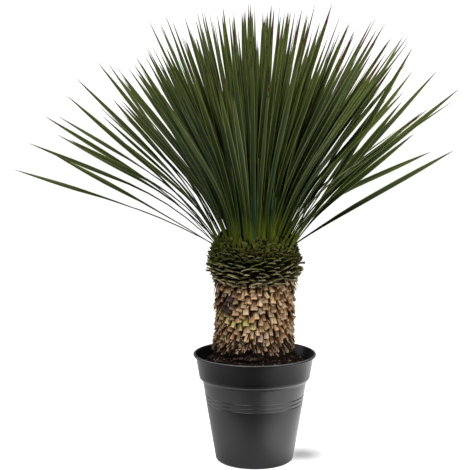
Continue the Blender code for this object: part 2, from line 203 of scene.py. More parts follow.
CUT_LEAF_ARCH = 0.0024
CUT_ZONE = (0.5, 0.556)
CUT_RISE = angles(26, 78)
CUT_REACH = (0.009, 0.005)
CUT_UNEVEN = (-0.006, 0.003)
CUT_STRETCH = ((0.45, 1.1), (0.7, 1.3), 1)

# Crown. Leans are from upright.
COLLAR_CORE_TOP = 0.53  # which the dome stands on
DOME_RADIUS = 0.094
DOME_HEIGHT = 0.062
DOME_STEPS = 6
DOME_TOP_RADIUS = 0.02
ROOT_DEPTH = 0.007
ROOT_SPREAD = 0.85
EDGE_LEAN = radians(48)  # blades that lean more are rooted at the dome's edge
LEAF_CREASE = radians(25)
BLADE_SIZE = (0.0134, 0.0012, 0.5)  # width, thickness and length of the blank
BLADE_STEPS = 20
BLADE_CHANNEL = 0.0021  # depth of the fold along the upper face
BLADE_RINGS = (
    (0.1, 0.8), (0.2, 0.85), (0.3, 0.91), (0.4, 0.96), (0.5, 1.0), (0.6, 1.0), (0.7, 0.95),
    (0.78, 0.84), (0.85, 0.66), (0.9, 0.46), (0.94, 0.29), (0.97, 0.15), (1.0, 0.04)
)  # share of the length, of the width
BLADE_ROOT_SHARE = 0.76
ROOT_LEAN = 0.62  # of the lean at the tip: the leaves bend outwards over their lower part
BEND_END = 0.6
TWIST = angles(20, 60)
TWIST_EASE = 1.5
TWIST_END = 0.75
RIGHT_TWIST_END = 0.5  # of the leaves apart at the right, which turn their broad side sooner
SWAY = 0.01  # sideways bow of a blade's tip
THIN_ROOT = 0.72  # share of the width that a blade which leans to the left has at its root
THIN_LEAN = radians(36)
THIN_END = 0.6
TIPS_UNEVEN = (0.000, 0.02)  # how far under the crown's top the longest blades end
TOP_LEAN = 0.88  # of the lean at the tip: the lean of the whole blade

BLADES = 252  # the main blades, with some left out for the gaps
BLADE_LENGTH = (0.475, 0.552)
BLADE_WIDE = (0.68, 1.0)
LONGER_RIGHT = 0.01  # share of the length
DENSE_SHARE = 0.84
DENSE_LEAN = radians(40)
WIDEST_LEAN = radians(70)
LEAN_JITTER = 0.05
FRONT_TRIM = 0.35
BACK_TRIM = 0.1
AT_LEFT = -0.25  # the azimuth's cosine, under which a blade counts as at the left
DRAWN_IN = 0.91  # share of the length that the blades at the upper left have
DRAWN_IN_LEAN = 0.46
LEFT_LIMIT = 0.9  # lean beyond which the blades at the left lie closer together
LEFT_CLOSER = 0.25
BROWN_SIDE = (0.05, 0.55)  # how far out at the right the withered blades stand
BROWN_SHARE = 0.68

# The gaps that show in the crown from the front: degrees from upright, and half their width
CLEAR = (
    (-42.5, 0.35), (-36.5, 0.35), (-30, 0.3), (-24, 0.4), (-17.4, 0.5), (-11, 0.45), (-5, 0.5),
    (0.5, 0.4), (5, 0.5), (11, 0.7), (14.8, 0.8), (18.9, 0.8), (25.5, 0.5), (43.5, 0.5)
)

# The leaves that stand apart at each side, from the lowest up: lean from upright at the root
# and at the tip in degrees, and length. They fan out a little to the front and the back.
LEFT_LEAVES = (
    (63, 74, 0.555), (47, 69, 0.545), (57, 61, 0.475), (49, 66, 0.55), (33, 62, 0.455),
    (39, 58, 0.525), (38, 62, 0.55), (37, 50, 0.535), (34, 48, 0.555), (25, 41, 0.435),
    (23, 39, 0.525), (31, 39, 0.545)
)
RIGHT_LEAVES = (
    (58, 62, 0.475), (33, 67, 0.43), (38, 51, 0.415), (38, 58, 0.5), (36, 50, 0.555),
    (30, 49, 0.455), (40, 45, 0.595), (34, 40, 0.455), (34, 40, 0.53), (23, 37, 0.45),
    (36, 30, 0.55), (32, 34, 0.6)
)
SIDE_FAN = radians(26)
SIDE_FAN_START = 0.4
SIDE_ZONE = radians(30)  # the main blades leave this much to them
SIDE_TWIST = radians(88)
SIDE_TWIST_START = 0.34  # share of the length up to which a leaf at the left shows its edge
LEFT_WIDE = 0.86
RIGHT_WIDE = 0.96
LOW_LEAVES = 8  # of each side, which are rooted lower
LOW_ROOT = 0.012

INFILL = 135  # shorter blades among the main ones
INFILL_LEAN = radians(42)
INFILL_LENGTH = (0.38, 0.48)
INFILL_WIDE = 0.82
SIDE_FILL = ((0, 24), (pi, 20))  # more at the right and the left: azimuth, how many
SIDE_FILL_FAN = radians(60)
SIDE_FILL_LEAN = angles(25, 52)
FRONT_FILL = 44  # blades rooted low at the front, which hide the stem's tip
FRONT_FILL_FAN = radians(72)
FRONT_FILL_LEAN = angles(6, 30)
FRONT_FILL_ROOT = (0.78, 0.98)
FRONT_FILL_WIDE = 0.95
SPEARS = 36  # upright blades in the middle
SPEAR_LEAN = radians(15)
SPEAR_LENGTH = (0.502, 0.527)
SPEAR_TURN = 0.3

# A few leaves close together, right of the middle, painted paler as a reflection of the sky:
# azimuth, leans in degrees and length
RIGHT_GROUP = ((-0.3, 25, 32, 0.485), (0.2, 27, 34, 0.47), (-0.1, 28, 35, 0.475))
RIGHT_GROUP_ROOT = 0.8

# Colours, linear
WHITE = (1, 1, 1)
TAN = (0.57, 0.375, 0.207)
STRAW = (0.78, 0.6, 0.38)
RUST = (0.27, 0.12, 0.045)
UMBER = (0.072, 0.029, 0.004)
HUSK_SHADE = (0.022, 0.008, 0.001)
CREVICE = (0.011, 0.006, 0.003)
ASH = (0.3, 0.23, 0.19)
# Soot on the trunk, and the dark of the cores between the strips, which is painted shade.
SOOT_AND_SHADE = (0.022, 0.014, 0.013)
MOSS = (0.105, 0.105, 0.025)
MOSS_GREEN = (0.085, 0.115, 0.008)
LIME = (0.34, 0.39, 0.085)
OLIVE = (0.066, 0.082, 0.007)
DEEP_GREEN = (0.014, 0.022, 0.002)
STUB_SHADE = (0.006, 0.006, 0.001)
LOW_STUB = (0.078, 0.07, 0.027)
CUT_TAN = (0.38, 0.33, 0.2)
CUT_BROWN = (0.08, 0.042, 0.018)
PEAT = (0.004, 0.002, 0.0015)
DAMP_PEAT = (0.006, 0.003, 0.002)
SOIL_FLECK = (0.07, 0.038, 0.022)
PERLITE = (0.26, 0.24, 0.21)
# The body's colour darkens with height to the band's: painted shade on the band.
POT_LOW, POT_BAND_SHADE = (0.012, 0.012, 0.0123), (0.0015, 0.0015, 0.0016)
POT_CLOUD, POT_SPECK = (0.02, 0.02, 0.0205), (0.035, 0.035, 0.036)
# The pale line under the band is a painted reflection of the floor, the paler lip a painted
# highlight.
POT_SHOULDER_REFLECTION, POT_LIP_HIGHLIGHT = (0.052, 0.052, 0.053), (0.098, 0.098, 0.1)
# Blades darken from their high colours to their low ones towards the root: painted shade low in the
# crown.
LEAF_LOW = (0.0028, 0.007, 0.0002), (0.015, 0.028, 0.001)  # of the darkest and palest blade
LEAF_HIGH = (0.014, 0.0285, 0.0025), (0.083, 0.124, 0.023)
LEAF_ROOT, LEAF_BLUISH = (0.084, 0.108, 0.007), (0.024, 0.05, 0.026)
LEAF_PATCH, LEAF_PALE = (0.05, 0.07, 0.01), (0.125, 0.15, 0.025)
LEAF_VEIN, LEAF_MARGIN = (0.007, 0.013, 0.001), (0.185, 0.21, 0.055)
WITHERED, TIP_BROWN = (0.058, 0.022, 0.009), (0.018, 0.009, 0.005)

# Colours that are mixed into a tint in turn, and the range of the share, held to 0..1
HUSK_TINTS = ((TAN, 0.1, 1.3), (STRAW, -0.6, 0.7))
# The foot's fibres mostly go near black: painted shade for the dark gaps between them.
FIBRE_TINTS = ((ASH, 0.0, 1.2), (STRAW, -1.0, 0.2), (CREVICE, -0.2, 2.7))
STUB_TINTS = ((OLIVE, 0, 1.4), (CUT_BROWN, -1.0, 0.8))
CUT_LEAF_TINTS = ((MOSS_GREEN, -0.6, 1.3), (DEEP_GREEN, -0.6, 1.2), (CUT_BROWN, -1.8, 0.6))
ASHEN_HUSKS = 0.32
PALE_HUSKS = 0.82  # share of the trunk's height, over which they are paler

# Places on the trunk, as (angle round it in degrees, height), that carry another colour
LIME_HUSKS = ((223, 0.348), (237, 0.352), (251, 0.341), (258, 0.359), (273, 0.346))
SOOT_PATCH = (221, 0.394, 26, 0.026)  # angle, height and reach in degrees and in height
MOSS_PATCH = (208, 0.364, 24, 0.018)

# Camera, fitted to the pot's rim and foot in the photograph
PHOTO_SIZE = 470
FOCAL_PIXELS = 1200
SENSOR = 36
CAMERA_PLACE = (-0.048, -2.881, 0.8997)
CAMERA_PITCH = radians(6.8)

# Floor and light
FLOOR_SIZE = 60
FLOOR_FRONT = 0.46
FLOOR_GREY = (0.53, 0.53, 0.53)
# The pot's soft shadow is painted on the floor, which glows less near this place.
SHADE_PLACE = (0.122, 0.03, 0)  # of the pot's soft shadow
SHADE_REACH = (0.016, 0.084)
FLOOR_GLOW = (0.22, 1.0)  # in the shadow and outside it
LEFT_GLOW = (-0.08, -0.24, 0, 0.4)  # from x to x, how strong: the pot's sides show it
RIGHT_GLOW = (0.06, 0.2, 0, 1.45)
RIGHT_FADE = (0.5, 1.3, 1, 0.45)  # farther out at the right it is weaker
ROOM_GLOW = 0.05
ROOM_SEEN = 1.2
SOFT_BOXES = (
    ("key", (-1.3, -1.9, 2.9), (2.4, 2.4), 125, 0.5),
    ("right_box", (1.3, -0.9, 0.9), (2.0, 1.4), 34, 0.4),
    ("left_box", (-1.5, 0.3, 0.75), (1.0, 1.5), 10, 0.4),
)  # place, width and height, power and the height aimed at


def let_go():
    """Leaves edit mode and deselects all."""
    if bpy.context.object and bpy.context.object.mode != "OBJECT":
        bpy.ops.object.mode_set(mode="OBJECT")
    bpy.ops.object.select_all(action="DESELECT")


def named(name):
    """Names the primitive that was just added and puts its place and size in its mesh."""
    obj = bpy.context.object
    obj.name = obj.data.name = name
    bpy.ops.object.transform_apply(location=True, rotation=True, scale=True)
    return obj


def discard(*objects):
    for obj in objects:
        bpy.data.objects.remove(obj)


def select_points():
    bpy.ops.mesh.select_all(action="SELECT")


def take(obj):
    """Makes an object the active one and the only one selected."""
    let_go()
    bpy.context.view_layer.objects.active = obj
    obj.select_set(True)


def open_edit(obj):
    """Opens a mesh for editing, with all its points selected."""
    take(obj)
    bpy.ops.object.mode_set(mode="EDIT")
    bpy.ops.mesh.select_mode(type="VERT")
    select_points()


def close_edit():
    bpy.ops.object.mode_set(mode="OBJECT")


def pick(test):
    """Selects the points of the mesh in edit mode whose place passes the test."""
    mesh = bmesh.from_edit_mesh(bpy.context.edit_object.data)
    for vertex in mesh.verts:
        vertex.select = test(vertex.co)
    mesh.select_flush_mode()
    bmesh.update_edit_mesh(bpy.context.edit_object.data)


def shift(x, y, z):
    bpy.ops.transform.translate(value=(x, y, z))


def on_circle(radius, z, angle):
    return Vector((radius * cos(angle), radius * sin(angle), z))


def arc(centre, radius, start, end, steps):
    """Points on a circle in the (radius, z) plane, angles in degrees."""
    angles = [radians(start + (end - start) * k / steps) for k in range(steps + 1)]
    return [(centre[0] + radius * cos(a), centre[1] + radius * sin(a)) for a in angles]


def between(ends, share):
    return ends[0] + (ends[1] - ends[0]) * share


def line(start, end, at):
    """The second coordinate where a straight line from start to end passes the first."""
    return between((start[1], end[1]), (at - start[0]) / (end[0] - start[0]))


def apart(angle, place):
    """How many degrees an angle lies from a place in degrees, the shorter way round."""
    return (degrees(angle) - place + 180) % 360 - 180


def lathe(name, outline, sides):
    """A point drawn out along an outline of (radius, z) and spun round the upright axis."""
    let_go()
    bpy.ops.mesh.primitive_plane_add(size=0.001, location=(outline[0][0], 0, outline[0][1]))
    obj = named(name)
    open_edit(obj)
    bpy.ops.mesh.merge(type="CENTER")
    for here, there in zip(outline, outline[1:]):
        step = (there[0] - here[0], 0, there[1] - here[1])
        bpy.ops.mesh.extrude_vertices_move(TRANSFORM_OT_translate={"value": step})
    select_points()
    bpy.ops.mesh.spin(steps=sides, angle=TURN, center=(0, 0, 0), axis=(0, 0, 1))
    select_points()
    bpy.ops.mesh.remove_doubles(threshold=MERGE)
    bpy.ops.mesh.normals_make_consistent(inside=False)
    close_edit()
    return obj


def drawn_out(name, size, sides, rings):
    """An oval drawn out along z ring by ring: rings give shares of the length and the width."""
    width, thickness, length = size
    let_go()
    bpy.ops.mesh.primitive_circle_add(vertices=sides, radius=1, fill_type="NGON")
    blank = named(name)
    open_edit(blank)
    bpy.ops.transform.resize(value=(width / 2, thickness / 2, 1))
    reached, wide = 0, 1
    for share, wider in rings:
        step = (0, 0, (share - reached) * length)
        bpy.ops.mesh.extrude_region_move(TRANSFORM_OT_translate={"value": step})
        ratio, centre = wider / wide, (0, 0, share * length)
        bpy.ops.transform.resize(value=(ratio, ratio, 1), center_override=centre)
        reached, wide = share, wider
    select_points()
    bpy.ops.mesh.normals_make_consistent(inside=False)
    close_edit()
    return blank


def arched(blank, width, rise):
    """Lifts the blank's middle over its sides, as a round hollow strip."""
    columns = sorted({round(abs(vertex.co.x), 5) for vertex in blank.data.vertices})
    open_edit(blank)
    for column in columns:
        pick(lambda co: abs(abs(co.x) - column) < MERGE)
        share = min(1, 2 * column / width)
        shift(0, rise * (1 - share * share), 0)
    close_edit()


def smooth(obj, crease):
    take(obj)
    bpy.ops.object.shade_smooth_by_angle(angle=crease)


def joined(pieces, name):
    take(pieces[0])
    for piece in pieces:
        piece.select_set(True)
    bpy.ops.object.join()
    whole = bpy.context.object
    whole.name = whole.data.name = name
    return whole


def lay_grain(obj, width, length, wides={}):
    """A UV map across and along a straight blank. wides: height to share of the width, if not 1."""
    layers = obj.data.uv_layers
    layer = layers[0] if layers else layers.new(name="grain")
    layer.name = "grain"
    for loop in obj.data.loops:
        place = obj.data.vertices[loop.vertex_index].co
        wide = wides.get(round(place.z, 5), 1)
        layer.data[loop.index].uv = (place.x / (width * wide) + 0.5, place.z / length)


def tinted(obj, tint, mood):
    """Stores a tint and a mood, three numbers that vary the finish, in all of a mesh."""
    for name, kind, key, value in (
        ("tint", "FLOAT_COLOR", "color", (*tint, 1)), ("mood", "FLOAT_VECTOR", "vector", mood)
    ):
        values = obj.data.attributes.new(name, kind, "POINT").data
        values.foreach_set(key, list(value) * len(values))
    return obj


def copy_of(blank, bend, tint, mood, rough=0):
    """A copy of a blank with its own mesh, each point moved by bend, in one tint and mood."""
    made = blank.copy()
    made.data = blank.data.copy()
    bpy.context.scene.collection.objects.link(made)
    for vertex in made.data.vertices:
        shake = Vector([ROUGHEN.uniform(-rough, rough) for _ in range(3)]) if rough else Vector()
        vertex.co = bend(vertex.co) + shake
    return tinted(made, tint, mood)


def laid(blank, copies):
    """Copies of a blank, each told by its bend, tint, mood and roughness. The blank goes."""
    made = [copy_of(blank, *copy) for copy in copies]
    discard(blank)
    return made


def cored(outline, grain, tint, mood):
    """The plain core under strips that are laid on one by one."""
    core = lathe("core", outline, CORE_SIDES)
    lay_grain(core, *grain)
    return tinted(core, tint, mood)


def mixed(first, second, share):
    share = max(0, min(1, share))
    return tuple(a + (b - a) * share for a, b in zip(first, second))


def drawn_tint(draw, tint, tints):
    for colour, least, most in tints:
        tint = mixed(tint, colour, draw.uniform(least, most))
    return tint


def drawn_stretch(draw, stretch):
    return tuple(draw.uniform(*part) if isinstance(part, tuple) else part for part in stretch)


def drawn_mood(draw):
    return draw.random(), draw.random(), draw.random()


def jitter(draw, reach):
    return draw.uniform(-reach, reach)


def body_radius(z):
    return FOOT_RADIUS + BODY_TAPER * z


def pot_outline():
    """The wall's outline from the foot's centre up the outside, over the lip, down the inside."""
    foot = (body_radius(FOOT_CORNER) - FOOT_CORNER, FOOT_CORNER)
    outside = [(0, 0), *arc(foot, FOOT_CORNER, -90, 5, 8)]
    for z in GROOVE_HEIGHTS:
        for share in [k / 4 for k in range(-4, 5)]:
            dip = GROOVE_DEPTH * (1 + cos(share * pi)) / 2
            outside.append((body_radius(z) - dip, z + share * GROOVE_HALF))
    corner = (BAND_BOTTOM[0] - BAND_CORNER, BAND_BOTTOM[1])
    outside += [(body_radius(SHOULDER_Z), SHOULDER_Z), *arc(corner, BAND_CORNER, -65, 0, 7)]
    outside.append(BAND_TOP)
    outside += arc((RIM_RADIUS - LIP_HALF, POT_TOP - LIP_HALF), LIP_HALF, -125, 180, 18)
    inside = arc((foot[0], FLOOR + FOOT_CORNER - WALL), FOOT_CORNER - WALL, -90, 0, 5)
    inside.append((body_radius(SHOULDER_Z) - WALL, SHOULDER_Z))
    inside.append((BAND_BOTTOM[0] - WALL, BAND_BOTTOM[1] + WALL))
    inside.append((BAND_TOP[0] - WALL, BAND_TOP[1]))
    return [*outside, *reversed(inside), (0, FLOOR)]


def make_pot():
    pot = lathe("grower_pot", pot_outline(), POT_SIDES)
    drills = []
    for k in range(DRAIN_HOLES):
        let_go()
        place = on_circle(DRAIN_CIRCLE, 0, TURN * k / DRAIN_HOLES)
        bpy.ops.mesh.primitive_cylinder_add(
            vertices=DRAIN_SIDES, radius=DRAIN_RADIUS, depth=4 * FLOOR, location=place
        )
        drills.append(named("drill"))
    drill = joined(drills, "drill")
    cut = pot.modifiers.new("drain holes", "BOOLEAN")
    cut.operation = "DIFFERENCE"
    cut.object = drill
    take(pot)
    bpy.ops.object.modifier_apply(modifier=cut.name)
    discard(drill)
    smooth(pot, POT_CREASE)
    return pot


def soil_height(radius):
    """The bare surface of the soil, without its lumps."""
    if radius > TRENCH[0]:
        return SOIL_WALL_Z
    if radius > ROOT_BALL_EDGE[0]:
        return line(ROOT_BALL_EDGE, TRENCH, radius)
    share = (radius - TRUNK_HOLE) / (ROOT_BALL_EDGE[0] - TRUNK_HOLE)
    return SOIL_TOP_Z + share ** ROOT_BALL_ROUND * (ROOT_BALL_EDGE[1] - SOIL_TOP_Z)


def soil_ground(edge):
    """The root ball with its hole for the trunk and a lumpy top."""
    bottom = FLOOR + SOIL_GAP
    low_edge = body_radius(FOOT_CORNER) - FOOT_CORNER
    outline = [
        (0, bottom), (low_edge, bottom),
        (low_edge + FOOT_CORNER - WALL - SOIL_GAP, bottom + FOOT_CORNER),
        (body_radius(SHOULDER_Z) - WALL - SOIL_GAP, SHOULDER_Z),
        (BAND_BOTTOM[0] - WALL - SOIL_GAP, BAND_BOTTOM[1] + WALL)
    ]
    for k in range(SOIL_STEPS + 1):
        radius = edge + (TRUNK_HOLE + SOIL_GAP - edge) * k / SOIL_STEPS
        outline.append((radius, soil_height(radius)))
    hole_floor = TRUNK_BOTTOM - SOIL_GAP
    outline += [(TRUNK_HOLE, hole_floor), (0, hole_floor)]
    soil = lathe("potting_soil", outline, SOIL_SIDES)
    low, high = TRUNK_HOLE + 2 * LUMP_MARGIN, edge - LUMP_MARGIN
    open_edit(soil)
    pick(lambda co: co.z > SOIL_WALL_Z - LUMP_MARGIN and low < co.to_2d().length < high)
    bpy.ops.object.vertex_group_add()
    bpy.ops.object.vertex_group_assign()
    close_edit()
    for size, height in LUMPS:
        lumps = bpy.data.textures.new("lumps", "CLOUDS")
        lumps.noise_scale = size
        rough = soil.modifiers.new("lumps", "DISPLACE")
        rough.texture = lumps
        rough.texture_coords = "LOCAL"
        rough.direction = "Z"
        rough.strength = height
        rough.mid_level = LUMP_MIDDLE
        rough.vertex_group = soil.vertex_groups[0].name
        bpy.ops.object.modifier_apply(modifier=rough.name)
        bpy.data.textures.remove(lumps)
    soil.vertex_groups.clear()
    return tinted(soil, PEAT, (0.2, 0, 0))


def crumb_blank():
    let_go()
    bpy.ops.mesh.primitive_ico_sphere_add(subdivisions=1, radius=1)
    crumb = named("crumb")
    open_edit(crumb)
    bpy.ops.transform.vertex_random(offset=0.35, seed=5)
    bpy.ops.transform.resize(value=CRUMB_SHAPE)
    close_edit()
    return crumb


def chip_blank():
    let_go()
    bpy.ops.mesh.primitive_cube_add(size=1, scale=CHIP_SIZE)
    chip = named("chip")
    open_edit(chip)
    bpy.ops.mesh.subdivide(number_cuts=1)
    bpy.ops.transform.vertex_random(offset=0.0007, seed=8)
    close_edit()
    return chip


def crumb_tint(draw):
    return mixed(PEAT, ASH, draw.random() ** 4 * 0.5)


def make_soil():
    """The root ball, and crumbs and chips of bark strewn over it."""
    draw = random.Random(SOIL_SEED)
    edge = line(BAND_BOTTOM[::-1], BAND_TOP[::-1], SOIL_WALL_Z) - WALL - SOIL_GAP
    whole = [soil_ground(edge)]
    crumb = crumb_blank()
    for radius, count in CRUMB_KINDS:
        for _ in range(count):
            tint = crumb_tint(draw)
            if draw.random() < PERLITE_SHARE:
                tint = PERLITE
            whole.append(strewn(crumb, radius * draw.uniform(0.6, 1.3), edge, tint, draw))
    for _ in range(HEAP):
        angle = radians(draw.gauss(FOOT_BAY[0], FOOT_BAY[1] * 0.7))
        out = draw.random()
        height = draw.uniform(*HEAP_HEIGHT) * foot_rise(angle) / FOOT_BAY[2] * (1 - out)
        place = on_circle(CORE_RADIUS + 0.003 + HEAP_DEPTH * out, SOIL_TOP_Z + height, angle)
        tint = crumb_tint(draw)
        size = draw.uniform(*HEAP_CRUMB)
        whole.append(copy_of(crumb, lambda co: place + co * size, tint, (draw.random(), 0, 1)))
    chip = chip_blank()
    for _ in range(CHIPS):
        tint = mixed(PEAT, RUST, draw.random() ** 2 * 0.5)
        whole.append(strewn(chip, draw.uniform(0.5, 1.3), edge, tint, draw))
    discard(crumb, chip)
    return joined(whole, "potting_soil")


def strewn(blank, size, edge, tint, draw):
    """A crumb or chip that lies on the soil at a drawn place, turned at random."""
    area = draw.random()
    inner, outer = TRUNK_HOLE + 0.012, edge - 0.004
    radius = sqrt(inner * inner + area * (outer * outer - inner * inner))
    height = soil_height(radius) + draw.uniform(*STREWN_SUNK)
    place = on_circle(radius, height, draw.uniform(0, TURN))
    turn = Matrix.Rotation(draw.uniform(0, TURN), 3, "Z")
    turn @= Matrix.Rotation(jitter(draw, 0.6), 3, "X")
    return copy_of(blank, lambda co: place + turn @ (co * size), tint, (draw.random(), 0, 1))


def core_outline():
    """The trunk's core, narrow in the soil."""
    return [
        (0, TRUNK_BOTTOM), (BURIED_RADIUS, TRUNK_BOTTOM), (BURIED_RADIUS, SOIL_TOP_Z - 0.004),
        (CORE_RADIUS + 0.004, SOIL_TOP_Z + 0.006), (CORE_RADIUS, SOIL_TOP_Z + 0.03),
        (CORE_RADIUS, TRUNK_TOP), (0, TRUNK_TOP)
    ]


def husk_blank(seed):
    """A round hollow strip, torn off at its free end at z = 0 and narrower at its hidden end."""
    blank = drawn_out("husk", HUSK_SIZE, 8, HUSK_RINGS)
    arched(blank, HUSK_SIZE[0], HUSK_ARCH)
    open_edit(blank)
    pick(lambda co: co.z < 0.5 * HUSK_RINGS[0][0] * HUSK_SIZE[2])
    bpy.ops.transform.vertex_random(offset=HUSK_TORN, seed=seed)
    close_edit()
    lay_grain(blank, HUSK_SIZE[0], HUSK_SIZE[2])
    return blank


def strand_blank(size):
    """A thin strand, pointed at its free end at z = 0."""
    blank = drawn_out("strand", size, 6, STRAND_RINGS)
    open_edit(blank)
    bpy.ops.transform.resize(value=(STRAND_TIP, STRAND_TIP, 1))
    close_edit()
    lay_grain(blank, size[0], size[2])
    return blank


def near_patch(angle, z, patch):
    """How far inside a patch on the trunk a place lies: 1 in its middle, 0 at its edge."""
    return 1 - hypot(apart(angle, patch[0]) / patch[2], (z - patch[1]) / patch[3])


def husk_tint(angle, z, draw):
    """Warm tan, browner low down and at random, with painted shade towards both sides and sooty and
    mossy patches at the left.
    """
    height = (z - HUSK_FOOT_Z) / (HUSK_TOP_Z - HUSK_FOOT_Z)
    tint = drawn_tint(draw, RUST, HUSK_TINTS)
    tint = mixed(tint, UMBER, draw.uniform(-0.6, 0.5) + 1.1 * (1 - height) ** 4)
    if height > PALE_HUSKS:
        tint = mixed(tint, STRAW, draw.uniform(0.1, 0.6))
    if draw.random() < ASHEN_HUSKS:
        tint = mixed(tint, ASH, draw.uniform(0.3, 0.9))
    # Husks at the left and the right of the trunk are darkened: painted shade, as the front is lit
    # most.
    side = cos(angle)
    if side < -0.25:
        tint = mixed(tint, UMBER, min(0.85, (-side - 0.2) * draw.uniform(0.9, 2.8)))
    if side > 0.15:
        tint = mixed(tint, UMBER, draw.uniform(-0.2, 0.7) + 0.3 * side)
    if near_patch(angle, z, SOOT_PATCH) > draw.uniform(-0.2, 0.15):
        tint = mixed(SOOT_AND_SHADE, ASH, draw.uniform(-0.1, 0.2))
    if near_patch(angle, z, MOSS_PATCH) > draw.uniform(-0.1, 0.3):
        tint = mixed(MOSS, UMBER, draw.uniform(0, 0.5))
    return tint


def hang(angle, foot, radius, lean, roll, stretch, curl, length, yaw=0):
    """Places a strip on the trunk: its foot at a radius and height, its head leaning in."""
    out, across = on_circle(1, 0, angle), on_circle(1, 0, angle - pi / 2)
    along = UP * cos(lean) - out * sin(lean)
    face = out * cos(lean) + UP * sin(lean)
    tilt = Matrix.Rotation(yaw, 3, along) @ Matrix.Rotation(roll, 3, face)

    def bend(co):
        raised = co.y * stretch[1] + curl * (1 - co.z / length) ** 2
        offset = across * (co.x * stretch[0]) + face * raised + along * (co.z * stretch[2])
        return out * radius + UP * foot + tilt @ offset

    return bend


def lowness(z):
    """How near to the trunk's foot a height lies: 1 at the soil."""
    return exp(-((z - HUSK_FOOT_Z) / FOOT_ZONE) ** 2)


def slant(angle, low):
    """How far strips lean sideways: out to the right, and at the foot to the left too."""
    side = cos(angle)
    return side * (SLANT + SLANT_FOOT * low if side > 0 else (SLANT + SLANT_FOOT) * low)


def foot_flare(angle, low):
    """How far the trunk's foot spreads at an angle, low being 1 at the soil."""
    side = cos(angle)
    return (FOOT_FLARE * (1 - 2.0 * max(0, side)) + FOOT_FLARE_LEFT * max(0, -side)) * low * low


def foot_rise(angle):
    """How much higher the foot ends at an angle, over the soil that is heaped up in front."""
    return FOOT_BAY[2] * exp(-(apart(angle, FOOT_BAY[0]) / FOOT_BAY[1]) ** 2)


def husks(draw):
    """The old leaf bases round the trunk. All their tints are drawn first."""
    blanks = [husk_blank(seed) for seed in range(HUSK_KINDS)]
    places = []
    for index in range(HUSKS):
        angle = (index * GOLDEN_ANGLE) % TURN + jitter(draw, HUSK_JITTER[0])
        z = HUSK_FOOT_Z + (HUSK_TOP_Z - HUSK_FOOT_Z) * (index + 0.5) / HUSKS
        places.append((angle, z + jitter(draw, HUSK_JITTER[1])))
    tints = [husk_tint(angle, z, draw) for angle, z in places]
    for angle, z in LIME_HUSKS:
        away = [hypot(b + 0.006 - z, 0.095 * (a - radians(angle))) for a, b in places]
        tints[away.index(min(away))] = mixed(LIME, TAN, draw.uniform(0, 0.4))
    strips = []
    for (angle, z), tint in zip(places, tints):
        low = lowness(z)
        wide, thick, long = drawn_stretch(draw, HUSK_STRETCH)
        stretch = wide * (1 - FOOT_NARROWER * low), thick, long * (1 + FOOT_LONGER * low)
        radius = HUSK_RADIUS + foot_flare(angle, low) + draw.uniform(*HUSK_OUT)
        lean = asin((radius - CORE_RADIUS - HUSK_HEAD) / (HUSK_SIZE[2] * stretch[2]))
        curl = draw.uniform(*HUSK_CURL)
        roll, yaw = draw.gauss(slant(angle, low), HUSK_ROLL), draw.gauss(0, HUSK_YAW)
        foot = z + low * foot_rise(angle)
        bend = hang(angle, foot, radius, lean, roll, stretch, curl, HUSK_SIZE[2], yaw)
        mood = drawn_mood(draw)
        strips.append(copy_of(draw.choice(blanks), bend, tint, mood, 0.0007))
    discard(*blanks)
    return strips


def tatters(draw):
    """Thin torn strands that lie over the husks."""
    for _ in range(TATTERS):
        angle = draw.uniform(0, TURN)
        z = draw.uniform(HUSK_FOOT_Z, HUSK_TOP_Z - 0.01)
        low = lowness(z)
        stretch = drawn_stretch(draw, TATTER_STRETCH)
        radius = HUSK_RADIUS + foot_flare(angle, low) + draw.uniform(*TATTER_OUT)
        lean = asin(TATTER_LEAN / (TATTER_SIZE[2] * stretch[2]))
        roll = draw.gauss(slant(angle, low), 0.35)
        curl = draw.uniform(0, 0.004)
        bend = hang(angle, z, radius, lean, roll, stretch, curl, TATTER_SIZE[2])
        tint = mixed(mixed(CREVICE, STRAW, draw.random()), husk_tint(angle, z, draw), 0.3)
        yield bend, tint, drawn_mood(draw), 0.0004


def foot_fibres(draw):
    """Frayed strands that splay over the soil."""
    for index in range(FIBRES):
        angle = (index * GOLDEN_ANGLE) % TURN + jitter(draw, 0.1)
        share = draw.random()
        z = between(FIBRE_ZONE, share) + foot_rise(angle)
        stretch = drawn_stretch(draw, FIBRE_STRETCH)
        flare = foot_flare(angle, 1 - 0.4 * share) + FIBRE_SPLAY * draw.random() ** 2
        radius = HUSK_RADIUS + FIBRE_OUT + flare
        lean = asin(min(FIBRE_STEEPEST, (radius - CORE_RADIUS) / (FIBRE_SIZE[2] * stretch[2])))
        curl = draw.uniform(-0.002, 0.006)
        roll = draw.gauss(slant(angle, 1), 0.2)
        bend = hang(angle, z, radius, lean, roll, stretch, curl, FIBRE_SIZE[2])
        # Most fibres take the near-black crevice colour: painted shade.
        yield bend, drawn_tint(draw, RUST, FIBRE_TINTS), drawn_mood(draw), 0.0006


def hangers(draw):
    """Torn strips under the collar, and some lower down that curl away."""
    long = HANGER_SIZE[2]
    for index in range(HANGERS):
        angle = TURN * (index + jitter(draw, 0.3)) / HANGERS
        stretch = drawn_stretch(draw, HANGER_STRETCH)
        foot = TRUNK_TOP + 0.006 - long * stretch[2]
        radius = HUSK_RADIUS + draw.uniform(*HANGER_OUT)
        curl = draw.uniform(-0.004, 0.008)
        bend = hang(angle, foot, radius, 0.05, draw.gauss(0, 0.3), stretch, curl, long)
        yield bend, mixed(UMBER, TAN, draw.uniform(-0.2, 0.9)), drawn_mood(draw), 0.0005
    for place, head, length, curl in TORN_STRIPS:
        stretch = (1.0, 1, length / long)
        radius = HUSK_RADIUS + HANGER_OUT[1]
        bend = hang(radians(place), head - length, radius, 0.1, 0, stretch, curl, long)
        yield bend, mixed(UMBER, TAN, 0.35), (draw.random(), 0.5, 0.5), 0.0004


